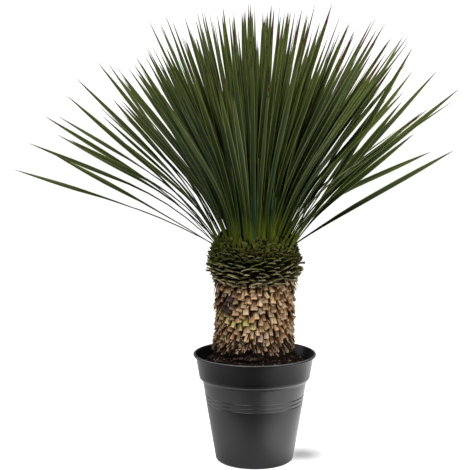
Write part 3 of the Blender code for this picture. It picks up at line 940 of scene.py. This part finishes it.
def make_trunk():
    draw = random.Random(TRUNK_SEED)
    # The core shows only between the husks; its dark tint and grain make it painted shade all over.
    whole = [cored(core_outline(), (0.1, 0.1), SOOT_AND_SHADE, (0.5, 0.5, 0.5)), *husks(draw)]
    for size, strips in ((TATTER_SIZE, tatters), (FIBRE_SIZE, foot_fibres), (HANGER_SIZE, hangers)):
        whole += laid(strand_blank(size), strips(draw))
    return joined(whole, "shaggy_trunk")


def stub_blank(size, arch):
    """A broad leaf base, cut short: an arched lens, its cut end at the top of the blank."""
    width, thickness, length = size
    blank = drawn_out("stub", size, 10, STUB_RINGS)
    arched(blank, width, arch)
    open_edit(blank)
    pick(lambda co: co.z > length * 0.9 and abs(co.x) < width * 0.12)
    shift(0, 0, STUB_POINT * length)
    close_edit()
    lay_grain(blank, width, length)
    return blank


def collar_radius(z):
    if z < COLLAR_SWELL_Z:
        return line((COLLAR_BOTTOM, COLLAR_FOOT_RADIUS), (COLLAR_SWELL_Z, COLLAR_RADIUS), z)
    if z < CROWN_BOTTOM:
        return COLLAR_RADIUS
    height = min(1, (z - CROWN_BOTTOM) / DOME_HEIGHT)
    return DOME_RADIUS * sqrt(1 - height * height)


def stem_core(levels, narrowest, tint, mood):
    """The plain stem inside the stubs, from one level up to the next; its grain puts it in the
    painted shade of the stubs' finish.
    """
    skin = [(max(narrowest, collar_radius(z) - COLLAR_SKIN), z) for z in levels]
    return cored([(0, levels[0]), *skin, (0, levels[-1])], (1, 100), tint, mood)


def jut(angle, z, reach, rise, roll, stretch, length):
    """Places a stub so that its cut end juts out of the collar by reach, rising at an angle."""
    out, across = on_circle(1, 0, angle), on_circle(1, 0, angle + pi / 2)
    along = out * cos(rise) + UP * sin(rise)
    face = UP * cos(rise) - out * sin(rise)
    tilt = Matrix.Rotation(roll, 3, along)
    end = out * (collar_radius(z) + reach * cos(rise)) + UP * (z + reach * sin(rise))

    def bend(co):
        inwards = along * ((co.z - length) * stretch[2])
        return end + tilt @ (across * (co.x * stretch[0]) + face * (co.y * stretch[1]) + inwards)

    return bend


def stubs(draw):
    """The cut leaf bases of the collar, from the lowest up."""
    zone = CROWN_BOTTOM - COLLAR_BOTTOM - 2 * STUB_MARGIN
    for index in range(STUBS):
        share = (index + 0.5) / STUBS
        z = COLLAR_BOTTOM + STUB_MARGIN + zone * share + jitter(draw, STUB_MARGIN)
        angle = index * GOLDEN_ANGLE + jitter(draw, 0.05)
        grown = min(1, (z - COLLAR_BOTTOM) / (COLLAR_SWELL_Z - COLLAR_BOTTOM))
        reach = between(STUB_REACH, grown) + draw.uniform(*STUB_UNEVEN)
        reach -= STUB_SHORTER * max(0, share - 0.6) / 0.4
        rise = between(STUB_RISE, share) + jitter(draw, 0.14)
        stretch = drawn_stretch(draw, STUB_STRETCH)
        tint = drawn_tint(draw, DEEP_GREEN, STUB_TINTS)
        tint = mixed(tint, CUT_TAN, (0.95 - share * 4) * draw.uniform(0.3, 1))
        bend = jut(angle, z, reach, rise, draw.gauss(0, 0.18), stretch, STUB_SIZE[2])
        yield bend, tint, drawn_mood(draw), 0.001


def cut_leaves(draw):
    """The cut leaf bases that rise round the stem's tip."""
    for index in range(CUT_LEAVES):
        share = (index + 0.5) / CUT_LEAVES
        z = between(CUT_ZONE, share) + jitter(draw, 0.004)
        angle = index * GOLDEN_ANGLE + jitter(draw, 0.05)
        rise = between(CUT_RISE, share) + jitter(draw, 0.25)
        reach = between(CUT_REACH, share) + draw.uniform(*CUT_UNEVEN)
        stretch = drawn_stretch(draw, CUT_STRETCH)
        tint = drawn_tint(draw, OLIVE, CUT_LEAF_TINTS)
        bend = jut(angle, z, reach, rise, draw.gauss(0, 0.25), stretch, CUT_LEAF_SIZE[2])
        yield bend, tint, (0.6 * draw.random(), draw.random(), draw.random()), 0.0011


def make_collar():
    levels = [COLLAR_BOTTOM, COLLAR_SWELL_Z, CROWN_BOTTOM - SOIL_GAP]
    core = stem_core(levels, 0, SOOT_AND_SHADE, (0.5, 0.5, 0.5))
    pieces = laid(stub_blank(STUB_SIZE, STUB_ARCH), stubs(random.Random(COLLAR_SEED)))
    return joined([core, *pieces], "cut_leaf_bases")


def make_stem_tip():
    levels = [CROWN_BOTTOM + DOME_HEIGHT * k / DOME_STEPS for k in range(DOME_STEPS + 1)]
    core = stem_core(levels, DOME_TOP_RADIUS, DEEP_GREEN, (0.5, 0, 0.5))
    blank = stub_blank(CUT_LEAF_SIZE, CUT_LEAF_ARCH)
    return joined([core, *laid(blank, cut_leaves(random.Random(TIP_SEED)))], "stem_tip")


def blade_blank():
    """One straight blade, four-sided, folded along its middle and drawn out to a fine tip."""
    rings = [(share, wide / BLADE_ROOT_SHARE) for share, wide in BLADE_RINGS]
    width, thickness, length = BLADE_SIZE
    blank = drawn_out("blade", (width * BLADE_ROOT_SHARE, thickness, length), 4, rings)
    levels = [(0, BLADE_ROOT_SHARE), *BLADE_RINGS]
    open_edit(blank)
    for share, wide in levels:
        pick(lambda co: abs(co.x) < MERGE and abs(co.z - share * length) < MERGE)
        shift(0, -BLADE_CHANNEL * wide, 0)
    pick(lambda co: abs(co.z - length) < MERGE)
    bpy.ops.mesh.merge(type="CENTER")
    close_edit()
    lay_grain(blank, width, length, {round(share * length, 5): wide for share, wide in levels})
    return blank


def dome_point(azimuth, share):
    """A point under the dome's skin, share of the way from its top to its edge."""
    height = (DOME_HEIGHT - 2 * ROOT_DEPTH) * sqrt(max(0, 1 - share * share))
    z = COLLAR_CORE_TOP + ROOT_DEPTH + height
    return on_circle((DOME_RADIUS - ROOT_DEPTH) * share, z, azimuth)


def root_of(azimuth, lean):
    """Where a blade is rooted: the more it leans, the nearer to the dome's edge."""
    return dome_point(azimuth, min(1, (lean / EDGE_LEAN) ** ROOT_SPREAD))


def bent(lean):
    """The leans at a blade's root and at its tip."""
    return lean * ROOT_LEAN, lean


def blade_course(azimuth, root_lean, tip_lean, length, root):
    """Points and directions up the blade's middle, which bends outwards over its lower part."""
    out = on_circle(1, 0, azimuth)
    point = root.copy()
    course = []
    for step in range(BLADE_STEPS + 1):
        ease = min(1, (step + 0.5) / BLADE_STEPS / BEND_END)
        lean = root_lean + (tip_lean - root_lean) * ease * ease * (3 - 2 * ease)
        direction = out * sin(lean) + UP * cos(lean)
        course.append((point.copy(), direction))
        point += direction * (length / BLADE_STEPS)
    return course


def grown(azimuth, leans, length, root, turn, sway, wide, mood, twist_start=0):
    """A blade that follows its course and turns about it towards the tip, to be laid."""
    course = blade_course(azimuth, *leans, length, root)
    across = on_circle(1, 0, azimuth + pi / 2)
    right = cos(azimuth)
    twist_end = RIGHT_TWIST_END if abs(turn) == SIDE_TWIST and right > 0 else TWIST_END
    root_wide = THIN_ROOT if leans[1] > THIN_LEAN and right < 0 else 1

    def bend(co):
        share = co.z / BLADE_SIZE[2]
        before = min(BLADE_STEPS - 1, int(share * BLADE_STEPS))
        part = share * BLADE_STEPS - before
        point = course[before][0].lerp(course[before + 1][0], part)
        direction = course[before][1].lerp(course[before + 1][1], part).normalized()
        twisted = max(0, min(1, (share - twist_start) / (twist_end - twist_start))) ** TWIST_EASE
        side = Matrix.Rotation(turn * twisted, 3, direction) @ across
        face = direction.cross(side).normalized()
        thin = root_wide + (1 - root_wide) * min(1, share / THIN_END)
        point = point + side * (co.x * wide * thin) + face * (co.y * thin)
        return point + across * (sway * share * share)

    return bend, (0, 0, 0), mood


def in_clear(azimuth, lean):
    """Whether a blade would fill one of the gaps that show in the crown from the front."""
    seen = degrees(atan(tan(lean) * cos(azimuth)))
    return any(abs(seen - place) < half for place, half in CLEAR)


def turned(draw):
    """A twist to one side or the other."""
    return draw.choice((-1, 1)) * draw.uniform(*TWIST)


def green_mood(draw):
    """The mood of a blade whose tip hasn't withered."""
    return draw.random(), 0, draw.random()


def browned(azimuth, lean, draw):
    """How far down a blade's tip has withered: most at the upper right."""
    right = cos(azimuth) * sin(lean)
    if BROWN_SIDE[0] < right < BROWN_SIDE[1] and draw.random() < BROWN_SHARE:
        return draw.uniform(0.4, 1)
    return draw.uniform(0, 0.35)


def blade_lean(share, azimuth):
    """How far a blade's tip leans from upright: close together in the middle, sparse outside."""
    if share < DENSE_SHARE:
        lean = acos(1 - share / DENSE_SHARE * (1 - cos(DENSE_LEAN)))
    else:
        lean = DENSE_LEAN + (share - DENSE_SHARE) / (1 - DENSE_SHARE) * (WIDEST_LEAN - DENSE_LEAN)
    front = -sin(azimuth)
    trim = FRONT_TRIM if front > 0 else BACK_TRIM
    return lean * (1 - trim * front * front * lean / WIDEST_LEAN)


# The functions below give blades as grown() takes them.

def main_blades(draw, looks):
    for index in range(BLADES):
        azimuth = (index * GOLDEN_ANGLE) % TURN
        lean = blade_lean((index + 0.5) / BLADES, azimuth)
        lean *= draw.uniform(1 - LEAN_JITTER, 1 + LEAN_JITTER)
        length = draw.uniform(*BLADE_LENGTH) * (1 + LONGER_RIGHT * cos(azimuth))
        turn = turned(draw)
        from_side = min(abs(azimuth - side) for side in (0, pi, TURN))
        if from_side <= SIDE_ZONE and lean >= DENSE_LEAN:
            continue
        root = root_of(azimuth, lean)
        mood = (looks.random(), browned(azimuth, lean, looks), looks.random())
        sway = jitter(looks, SWAY)
        wide = looks.uniform(*BLADE_WIDE)
        if cos(azimuth) < AT_LEFT:
            if lean > LEFT_LIMIT:
                lean = LEFT_LIMIT + LEFT_CLOSER * (lean - LEFT_LIMIT)
            elif lean > DRAWN_IN_LEAN:
                length *= DRAWN_IN
        highest = CROWN_TOP - looks.uniform(*TIPS_UNEVEN) - root.z
        length = min(length, highest / cos(TOP_LEAN * lean))
        if not in_clear(azimuth, lean):
            yield azimuth, bent(lean), length, root, turn, sway, wide, mood


def side_leaves(draw, looks):
    for leaves, on_left in ((LEFT_LEAVES, True), (RIGHT_LEAVES, False)):
        for index, (root_lean, tip_lean, length) in enumerate(leaves):
            fan = SIDE_FAN * sin(index * GOLDEN_ANGLE + SIDE_FAN_START)
            azimuth = pi - fan if on_left else fan
            turn = draw.choice((-1, 1)) * SIDE_TWIST
            leans = angles(root_lean, tip_lean)
            mood = (looks.uniform(0, 0.4), looks.uniform(0.1, 0.5), looks.random() * 0.6)
            root = dome_point(azimuth, 1) - UP * (LOW_ROOT if index < LOW_LEAVES else 0)
            wide, start = (LEFT_WIDE, SIDE_TWIST_START) if on_left else (RIGHT_WIDE, 0)
            yield azimuth, leans, length, root, turn, 0, wide, mood, start


def infill(looks):
    for index in range(INFILL):
        azimuth = (index * GOLDEN_ANGLE + 1) % TURN
        share = (index + 0.5) / INFILL
        trim = FRONT_TRIM * max(0, -sin(azimuth)) * share
        lean = INFILL_LEAN * sqrt(share) * (1 - trim)
        length = looks.uniform(*INFILL_LENGTH)
        turn = turned(looks)
        mood = green_mood(looks)
        blade = length, root_of(azimuth, lean), turn, jitter(looks, SWAY), INFILL_WIDE, mood
        if not in_clear(azimuth, lean):
            yield azimuth, bent(lean), *blade


def side_fill(looks):
    for middle in [place for place, count in SIDE_FILL for _ in range(count)]:
        azimuth = middle + jitter(looks, SIDE_FILL_FAN)
        lean = looks.uniform(*SIDE_FILL_LEAN)
        length = looks.uniform(*INFILL_LENGTH)
        mood = green_mood(looks)
        turn = turned(looks)
        blade = length, root_of(azimuth, lean), turn, jitter(looks, SWAY), INFILL_WIDE, mood
        if not in_clear(azimuth, lean):
            yield azimuth, bent(lean), *blade


def front_fill(looks):
    for index in range(FRONT_FILL):
        fan = FRONT_FILL_FAN * (2 * (index + 0.5) / FRONT_FILL - 1)
        azimuth = -pi / 2 + fan + jitter(looks, 0.03)
        lean = looks.uniform(*FRONT_FILL_LEAN) * (1 + 0.5 * abs(cos(azimuth)))
        root = dome_point(azimuth, looks.uniform(*FRONT_FILL_ROOT))
        mood = green_mood(looks)
        turn = turned(looks)
        length = looks.uniform(*INFILL_LENGTH)
        yield azimuth, bent(lean), length, root, turn, 0, FRONT_FILL_WIDE, mood


def spears(looks):
    for index in range(SPEARS):
        azimuth = index * GOLDEN_ANGLE
        lean = SPEAR_LEAN * sqrt((index + 0.5) / SPEARS)
        if not in_clear(azimuth, lean):
            mood = (looks.random(), 0.1, looks.random())
            length = looks.uniform(*SPEAR_LENGTH)
            yield azimuth, (lean, lean), length, dome_point(azimuth, lean), SPEAR_TURN, 0, 1.0, mood


def right_group(looks):
    for azimuth, root_lean, tip_lean, length in RIGHT_GROUP:
        leans = angles(root_lean, tip_lean)
        # Paler than most: a painted reflection of the sky.
        mood = (looks.uniform(0.7, 1.0), looks.uniform(0.3, 0.9), looks.uniform(0.3, 0.6))
        root = dome_point(azimuth, RIGHT_GROUP_ROOT)
        yield azimuth, leans, length, root, looks.uniform(*TWIST), 0, 1.0, mood


def make_crown():
    draw, looks = random.Random(CROWN_SEED), random.Random(LOOKS_SEED)
    groups = (
        main_blades(draw, looks), side_leaves(draw, looks), infill(looks), side_fill(looks),
        front_fill(looks), spears(looks), right_group(looks)
    )
    blades = (grown(*blade) for group in groups for blade in group)
    crown = joined(laid(blade_blank(), blades), "yucca_leaves")
    smooth(crown, LEAF_CREASE)
    return crown


class Nodes:
    """A tree of shader nodes that is built up one node at a time."""

    def __init__(self, tree):
        self.tree = tree

    def add(self, kind, inputs=(), **settings):
        node = self.tree.nodes.new("ShaderNode" + kind)
        for key, value in settings.items():
            setattr(node, key, value)
        for key, value in dict(inputs).items():
            self.feed(value, node.inputs[key])
        return node

    def feed(self, value, socket):
        if isinstance(value, bpy.types.NodeSocket):
            self.tree.links.new(value, socket)
        elif isinstance(value, tuple) and len(value) == 3 and socket.type == "RGBA":
            socket.default_value = (*value, 1)
        else:
            socket.default_value = value

    def camera_ray(self):
        return self.add("LightPath").outputs["Is Camera Ray"]


class Finish(Nodes):
    """The node material of a surface."""

    def __init__(self, name, roughness=0.5, shine=0.5):
        self.material = bpy.data.materials.new(name)
        self.material.use_nodes = True
        super().__init__(self.material.node_tree)
        self.shader = self.tree.nodes["Principled BSDF"]
        self.set("Roughness", roughness)
        self.set("Specular IOR Level", shine)
        self.place = self.add("TexCoord").outputs["Object"]

    def set(self, name, value):
        self.feed(value, self.shader.inputs[name])

    def axes(self, vector):
        return self.add("SeparateXYZ", {"Vector": vector}).outputs

    def noise(self, scale, detail=3, stretch=(1, 1, 1), at=None):
        mapping = self.add("Mapping", {"Vector": at or self.place, "Scale": stretch})
        inputs = {"Vector": mapping.outputs["Vector"], "Scale": scale, "Detail": detail}
        return self.add("TexNoise", inputs).outputs["Fac"]

    def ramp(self, value, low, high, start=0.0, end=1.0):
        """Maps low..high to start..end, held beyond both."""
        inputs = {"Value": value, "From Min": low, "From Max": high, "To Min": start, "To Max": end}
        return self.add("MapRange", inputs).outputs["Result"]

    def mix(self, share, first, second):
        inputs = {0: share, 6: first, 7: second}
        return self.add("Mix", inputs, data_type="RGBA", blend_type="MIX").outputs[2]

    def layers(self, base, *layers):
        """Lays colours over a base, each by a share, or by a value, where it starts and is full,
        and how strong it is there."""
        for *goes_by, colour in layers:
            share = goes_by[0]
            if len(goes_by) > 1:
                value, start, full, most = goes_by
                share = self.ramp(value, start, full, 0, most)
            base = self.mix(share, base, colour)
        return base

    def math(self, operation, first, second=0.0):
        return self.add("Math", {0: first, 1: second}, operation=operation).outputs[0]

    def times(self, first, second):
        return self.math("MULTIPLY", first, second)

    def attribute(self, name, output):
        return self.add("Attribute", attribute_name=name).outputs[output]

    def grain(self):
        """Coordinates that differ from piece to piece, how far off a piece's middle, how far up."""
        uv = self.add("UVMap", uv_map="grain").outputs["UV"]
        moved = {0: self.attribute("mood", "Vector"), 1: (31, 47, 59)}
        seed = self.add("VectorMath", moved, operation="MULTIPLY").outputs[0]
        shifted = self.add("VectorMath", {0: uv, 1: seed}, operation="ADD").outputs[0]
        across, along, _ = self.axes(uv)
        return shifted, self.math("ABSOLUTE", self.math("SUBTRACT", across, 0.5)), along

    def bump(self, height, distance, strength=1.0):
        inputs = {"Height": height, "Distance": distance, "Strength": strength}
        self.set("Normal", self.add("Bump", inputs).outputs["Normal"])

    def paint(self, obj):
        obj.data.materials.clear()
        obj.data.materials.append(self.material)


def pot_finish():
    """Dark plastic, glossier below the band, with painted shade on the band, a painted reflection
    as a pale line under it and a painted highlight on the lip.
    """
    finish = Finish("anthracite_plastic")
    height = finish.axes(finish.place)["Z"]
    # A pale line under the band: a painted reflection of the bright floor.
    under_band_reflection = finish.times(
        finish.ramp(height, 0.2048, 0.206), finish.ramp(height, 0.2092, 0.2078)
    )
    finish.set("Base Color", finish.layers(
        POT_LOW,
        # Darker up to the band: painted shade.
        (height, 0.05, 0.215, 1, POT_BAND_SHADE),
        (finish.noise(14, 4), 0.35, 0.65, 0.12, POT_CLOUD),
        (finish.noise(900, 2), 0.55, 0.75, 0.06, POT_SPECK),
        (under_band_reflection, POT_SHOULDER_REFLECTION),
        # The lip's top edge is painted paler: a painted highlight.
        (height, POT_TOP - 0.002, POT_TOP - 0.0008, 1, POT_LIP_HIGHLIGHT),
    ))
    finish.set("Specular IOR Level", finish.ramp(height, 0.209, 0.214, 0.54, 0.19))
    finish.set("Roughness", finish.ramp(finish.noise(40, 4), 0.3, 0.7, 0.28, 0.34))
    finish.bump(finish.noise(1500, 3), 0.00012, 0.5)
    return finish


def soil_finish():
    finish = Finish("damp_soil", 0.95, 0.05)
    finish.set("Base Color", finish.layers(
        finish.attribute("tint", "Color"),
        (finish.noise(240, 5), 0.35, 0.7, 1, DAMP_PEAT),
        (finish.noise(700, 2), 0.58, 0.7, 0.8, SOIL_FLECK),
    ))
    finish.bump(finish.noise(500, 6), 0.0012)
    return finish


def husk_finish():
    """Dry leaf bases: streaked along, with painted shade at their sides and towards their hidden
    upper end, pale at the cut end.
    """
    finish = Finish("dry_leaf_base", 0.85, 0.06)
    grain, side, along = finish.grain()
    tint = finish.attribute("tint", "Color")
    streaks = finish.noise(1, 4, (4.5, 1.2, 1), grain)
    fine = finish.noise(1, 3, (34, 3, 1), grain)
    finish.set("Base Color", finish.layers(
        tint,
        (streaks, 0.42, 0.66, 0.85, finish.mix(0.7, tint, RUST)),
        (streaks, 0.5, 0.6, 0.7, UMBER),
        (fine, 0.5, 0.72, 0.65, UMBER),
        (finish.noise(160, 4), 0.52, 0.72, 0.55, finish.mix(0.35, tint, ASH)),
        (along, 0.26, 0.04, 0.55, finish.mix(0.55, tint, STRAW)),
        (along, 0.025, 0.005, 0.75, UMBER),
        (along, 0.4, 0.72, 0.95, HUSK_SHADE),
        # Painted shade at the husk's sides, where the gaps between husks fall dark.
        (side, 0.34, 0.47, 0.95, UMBER),
        (tint, 0.05, 0.02, 0.9, tint),
    ))
    finish.bump(finish.math("ADD", streaks, fine), 0.0012, 0.9)
    return finish


def stub_finish():
    """Cut green leaf bases: mottled, browner low on the stem, with a drier cut end."""
    finish = Finish("green_leaf_base", 0.8, 0.04)
    grain, _, along = finish.grain()
    tint = finish.attribute("tint", "Color")
    streaks = finish.noise(1, 4, (7, 2.2, 1), grain)
    low = finish.ramp(finish.axes(finish.place)["Z"], 0.512, 0.468)
    seed = finish.axes(finish.attribute("mood", "Vector"))["X"]
    dry = finish.times(finish.ramp(along, 0.87, 0.98), finish.ramp(seed, 0, 0.9, 0.15, 1.0))
    flecks = finish.ramp(finish.noise(420, 2), 0.58, 0.7, 0, 0.8)
    finish.set("Base Color", finish.layers(
        tint,
        (streaks, 0.42, 0.66, 0.85, finish.mix(0.6, tint, DEEP_GREEN)),
        (finish.noise(260, 4), 0.5, 0.75, 0.5, CUT_BROWN),
        (finish.times(low, 0.6), LOW_STUB),
        (finish.times(dry, finish.ramp(low, 0, 1, 0.22, 1.0)), CUT_TAN),
        (finish.times(flecks, finish.ramp(low, 1, 0)), MOSS_GREEN),
        (along, 0.6, 0.35, 0.95, STUB_SHADE),
    ))
    finish.bump(finish.noise(420, 4), 0.0012, 0.9)
    return finish


def leaf_finish():
    """Blades: painted shade towards the root, fine veins along, pale margins, a withered brown tip.
    """
    finish = Finish("yucca_leaf")
    grain, side, along = finish.grain()
    shade, brown, seed = finish.axes(finish.attribute("mood", "Vector"))
    veins = finish.noise(1, 3, (22, 0.8, 1), grain)
    patches = finish.noise(1, 3, (1, 5, 1), grain)
    margin = finish.times(
        finish.ramp(side, 0.38, 0.44), finish.ramp(along, 0.05, 0.55, 0.25, 0.95)
    )
    withered = finish.math("SUBTRACT", along, finish.ramp(brown, 0, 1, 0.965, 0.815))
    uneven = finish.ramp(finish.noise(150, 4), 0.35, 0.65, -0.07, 0.05)
    finish.set("Base Color", finish.layers(
        # Darker towards the root: painted shade.
        finish.mix(shade, *LEAF_LOW),
        (along, 0.25, 0.85, 1, finish.mix(shade, *LEAF_HIGH)),
        (along, 0.16, 0.04, 0.9, LEAF_ROOT),
        (seed, 0.5, 0.8, 0.75, LEAF_BLUISH),
        (patches, 0.45, 0.65, 0.3, LEAF_PATCH),
        (along, 0.62, 0.9, 0.35, LEAF_PALE),
        (veins, 0.46, 0.62, 0.75, LEAF_VEIN),
        (margin, LEAF_MARGIN),
        (finish.math("ADD", withered, uneven), 0.0, 0.015, 1, WITHERED),
        (along, 0.955, 0.98, 1, TIP_BROWN),
    ))
    finish.set("Specular IOR Level", finish.ramp(along, 0.1, 0.6, 0.01, 0.16))
    finish.set("Roughness", finish.ramp(veins, 0.3, 0.7, 0.5, 0.62))
    finish.bump(veins, 0.0003, 0.6)
    return finish


def floor_finish():
    """White to the camera with the pot's soft shadow painted on as a weaker glow, and glowing at
    both sides for the pot.
    """
    finish = Finish("pale_floor", 0.9, 0)
    finish.set("Base Color", FLOOR_GREY)
    finish.set("Emission Color", WHITE)
    shade = {0: finish.place, 1: SHADE_PLACE}
    away = finish.add("VectorMath", shade, operation="DISTANCE").outputs["Value"]
    side = finish.axes(finish.place)["X"]
    right = finish.times(finish.ramp(side, *RIGHT_GLOW), finish.ramp(side, *RIGHT_FADE))
    glow = {
        0: finish.camera_ray(),
        2: finish.math("ADD", finish.ramp(side, *LEFT_GLOW), right),
        3: finish.ramp(away, *SHADE_REACH, *FLOOR_GLOW),
    }
    strength = finish.add("Mix", glow, data_type="FLOAT").outputs[0]
    finish.set("Emission Strength", strength)
    return finish


def lay_floor():
    """A white table, its front edge a little before the pot, so that the pot's front stays dark."""
    let_go()
    middle = (0, FLOOR_SIZE / 2 - FLOOR_FRONT, 0)
    bpy.ops.mesh.primitive_plane_add(size=FLOOR_SIZE, location=middle)
    floor = named("floor")
    floor_finish().paint(floor)
    return floor


def light_studio():
    """A white room seen by the camera, and soft boxes above and at both sides."""
    world = bpy.data.worlds.new("studio")
    world.use_nodes = True
    nodes = Nodes(world.node_tree)
    room = nodes.tree.nodes["Background"]
    nodes.feed(WHITE, room.inputs["Color"])
    nodes.feed(ROOM_GLOW, room.inputs["Strength"])
    seen = nodes.add("Background", {"Color": WHITE, "Strength": ROOM_SEEN})
    either = {0: nodes.camera_ray(), 1: room.outputs[0], 2: seen.outputs[0]}
    surface = nodes.add("MixShader", either).outputs[0]
    nodes.feed(surface, nodes.tree.nodes["World Output"].inputs["Surface"])
    bpy.context.scene.world = world
    for name, place, size, power, height in SOFT_BOXES:
        light = bpy.data.lights.new(name, "AREA")
        light.shape = "RECTANGLE"
        light.size, light.size_y = size
        light.energy = power
        lamp = bpy.data.objects.new(name, light)
        lamp.location = place
        aim = Vector((0, 0, height)) - Vector(place)
        lamp.rotation_euler = aim.to_track_quat("-Z", "Y").to_euler()
        bpy.context.scene.collection.objects.link(lamp)


def place_camera():
    data = bpy.data.cameras.new("camera")
    data.sensor_width = SENSOR
    data.lens = FOCAL_PIXELS / PHOTO_SIZE * SENSOR
    camera = bpy.data.objects.new("camera", data)
    camera.location = CAMERA_PLACE
    camera.rotation_euler = (pi / 2 - CAMERA_PITCH, 0, 0)
    bpy.context.scene.collection.objects.link(camera)
    bpy.context.scene.camera = camera


place_camera()
light_studio()
bpy.context.scene.view_settings.view_transform = "Standard"
lay_floor()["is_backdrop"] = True

pot = make_pot()
soil = make_soil()
trunk = make_trunk()
collar = make_collar()
stem_tip = make_stem_tip()
crown = make_crown()
cut_finish = stub_finish()

for piece, finish, node, slot in (
    (pot, pot_finish(), "pot", "pot_plastic"),
    (soil, soil_finish(), "soil", "soil"),
    (trunk, husk_finish(), "trunk", "dry_leaf_bases"),
    (collar, cut_finish, "leaf_base_collar", "green_leaf_bases"),
    (stem_tip, cut_finish, "leaf_crown", "green_leaf_bases"),
    (crown, leaf_finish(), "leaf_crown", "leaves"),
):
    finish.paint(piece)
    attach(piece, "root")
    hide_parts(node)

[[list(corner) for corner in box] for box in (CAD_BOX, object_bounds())]
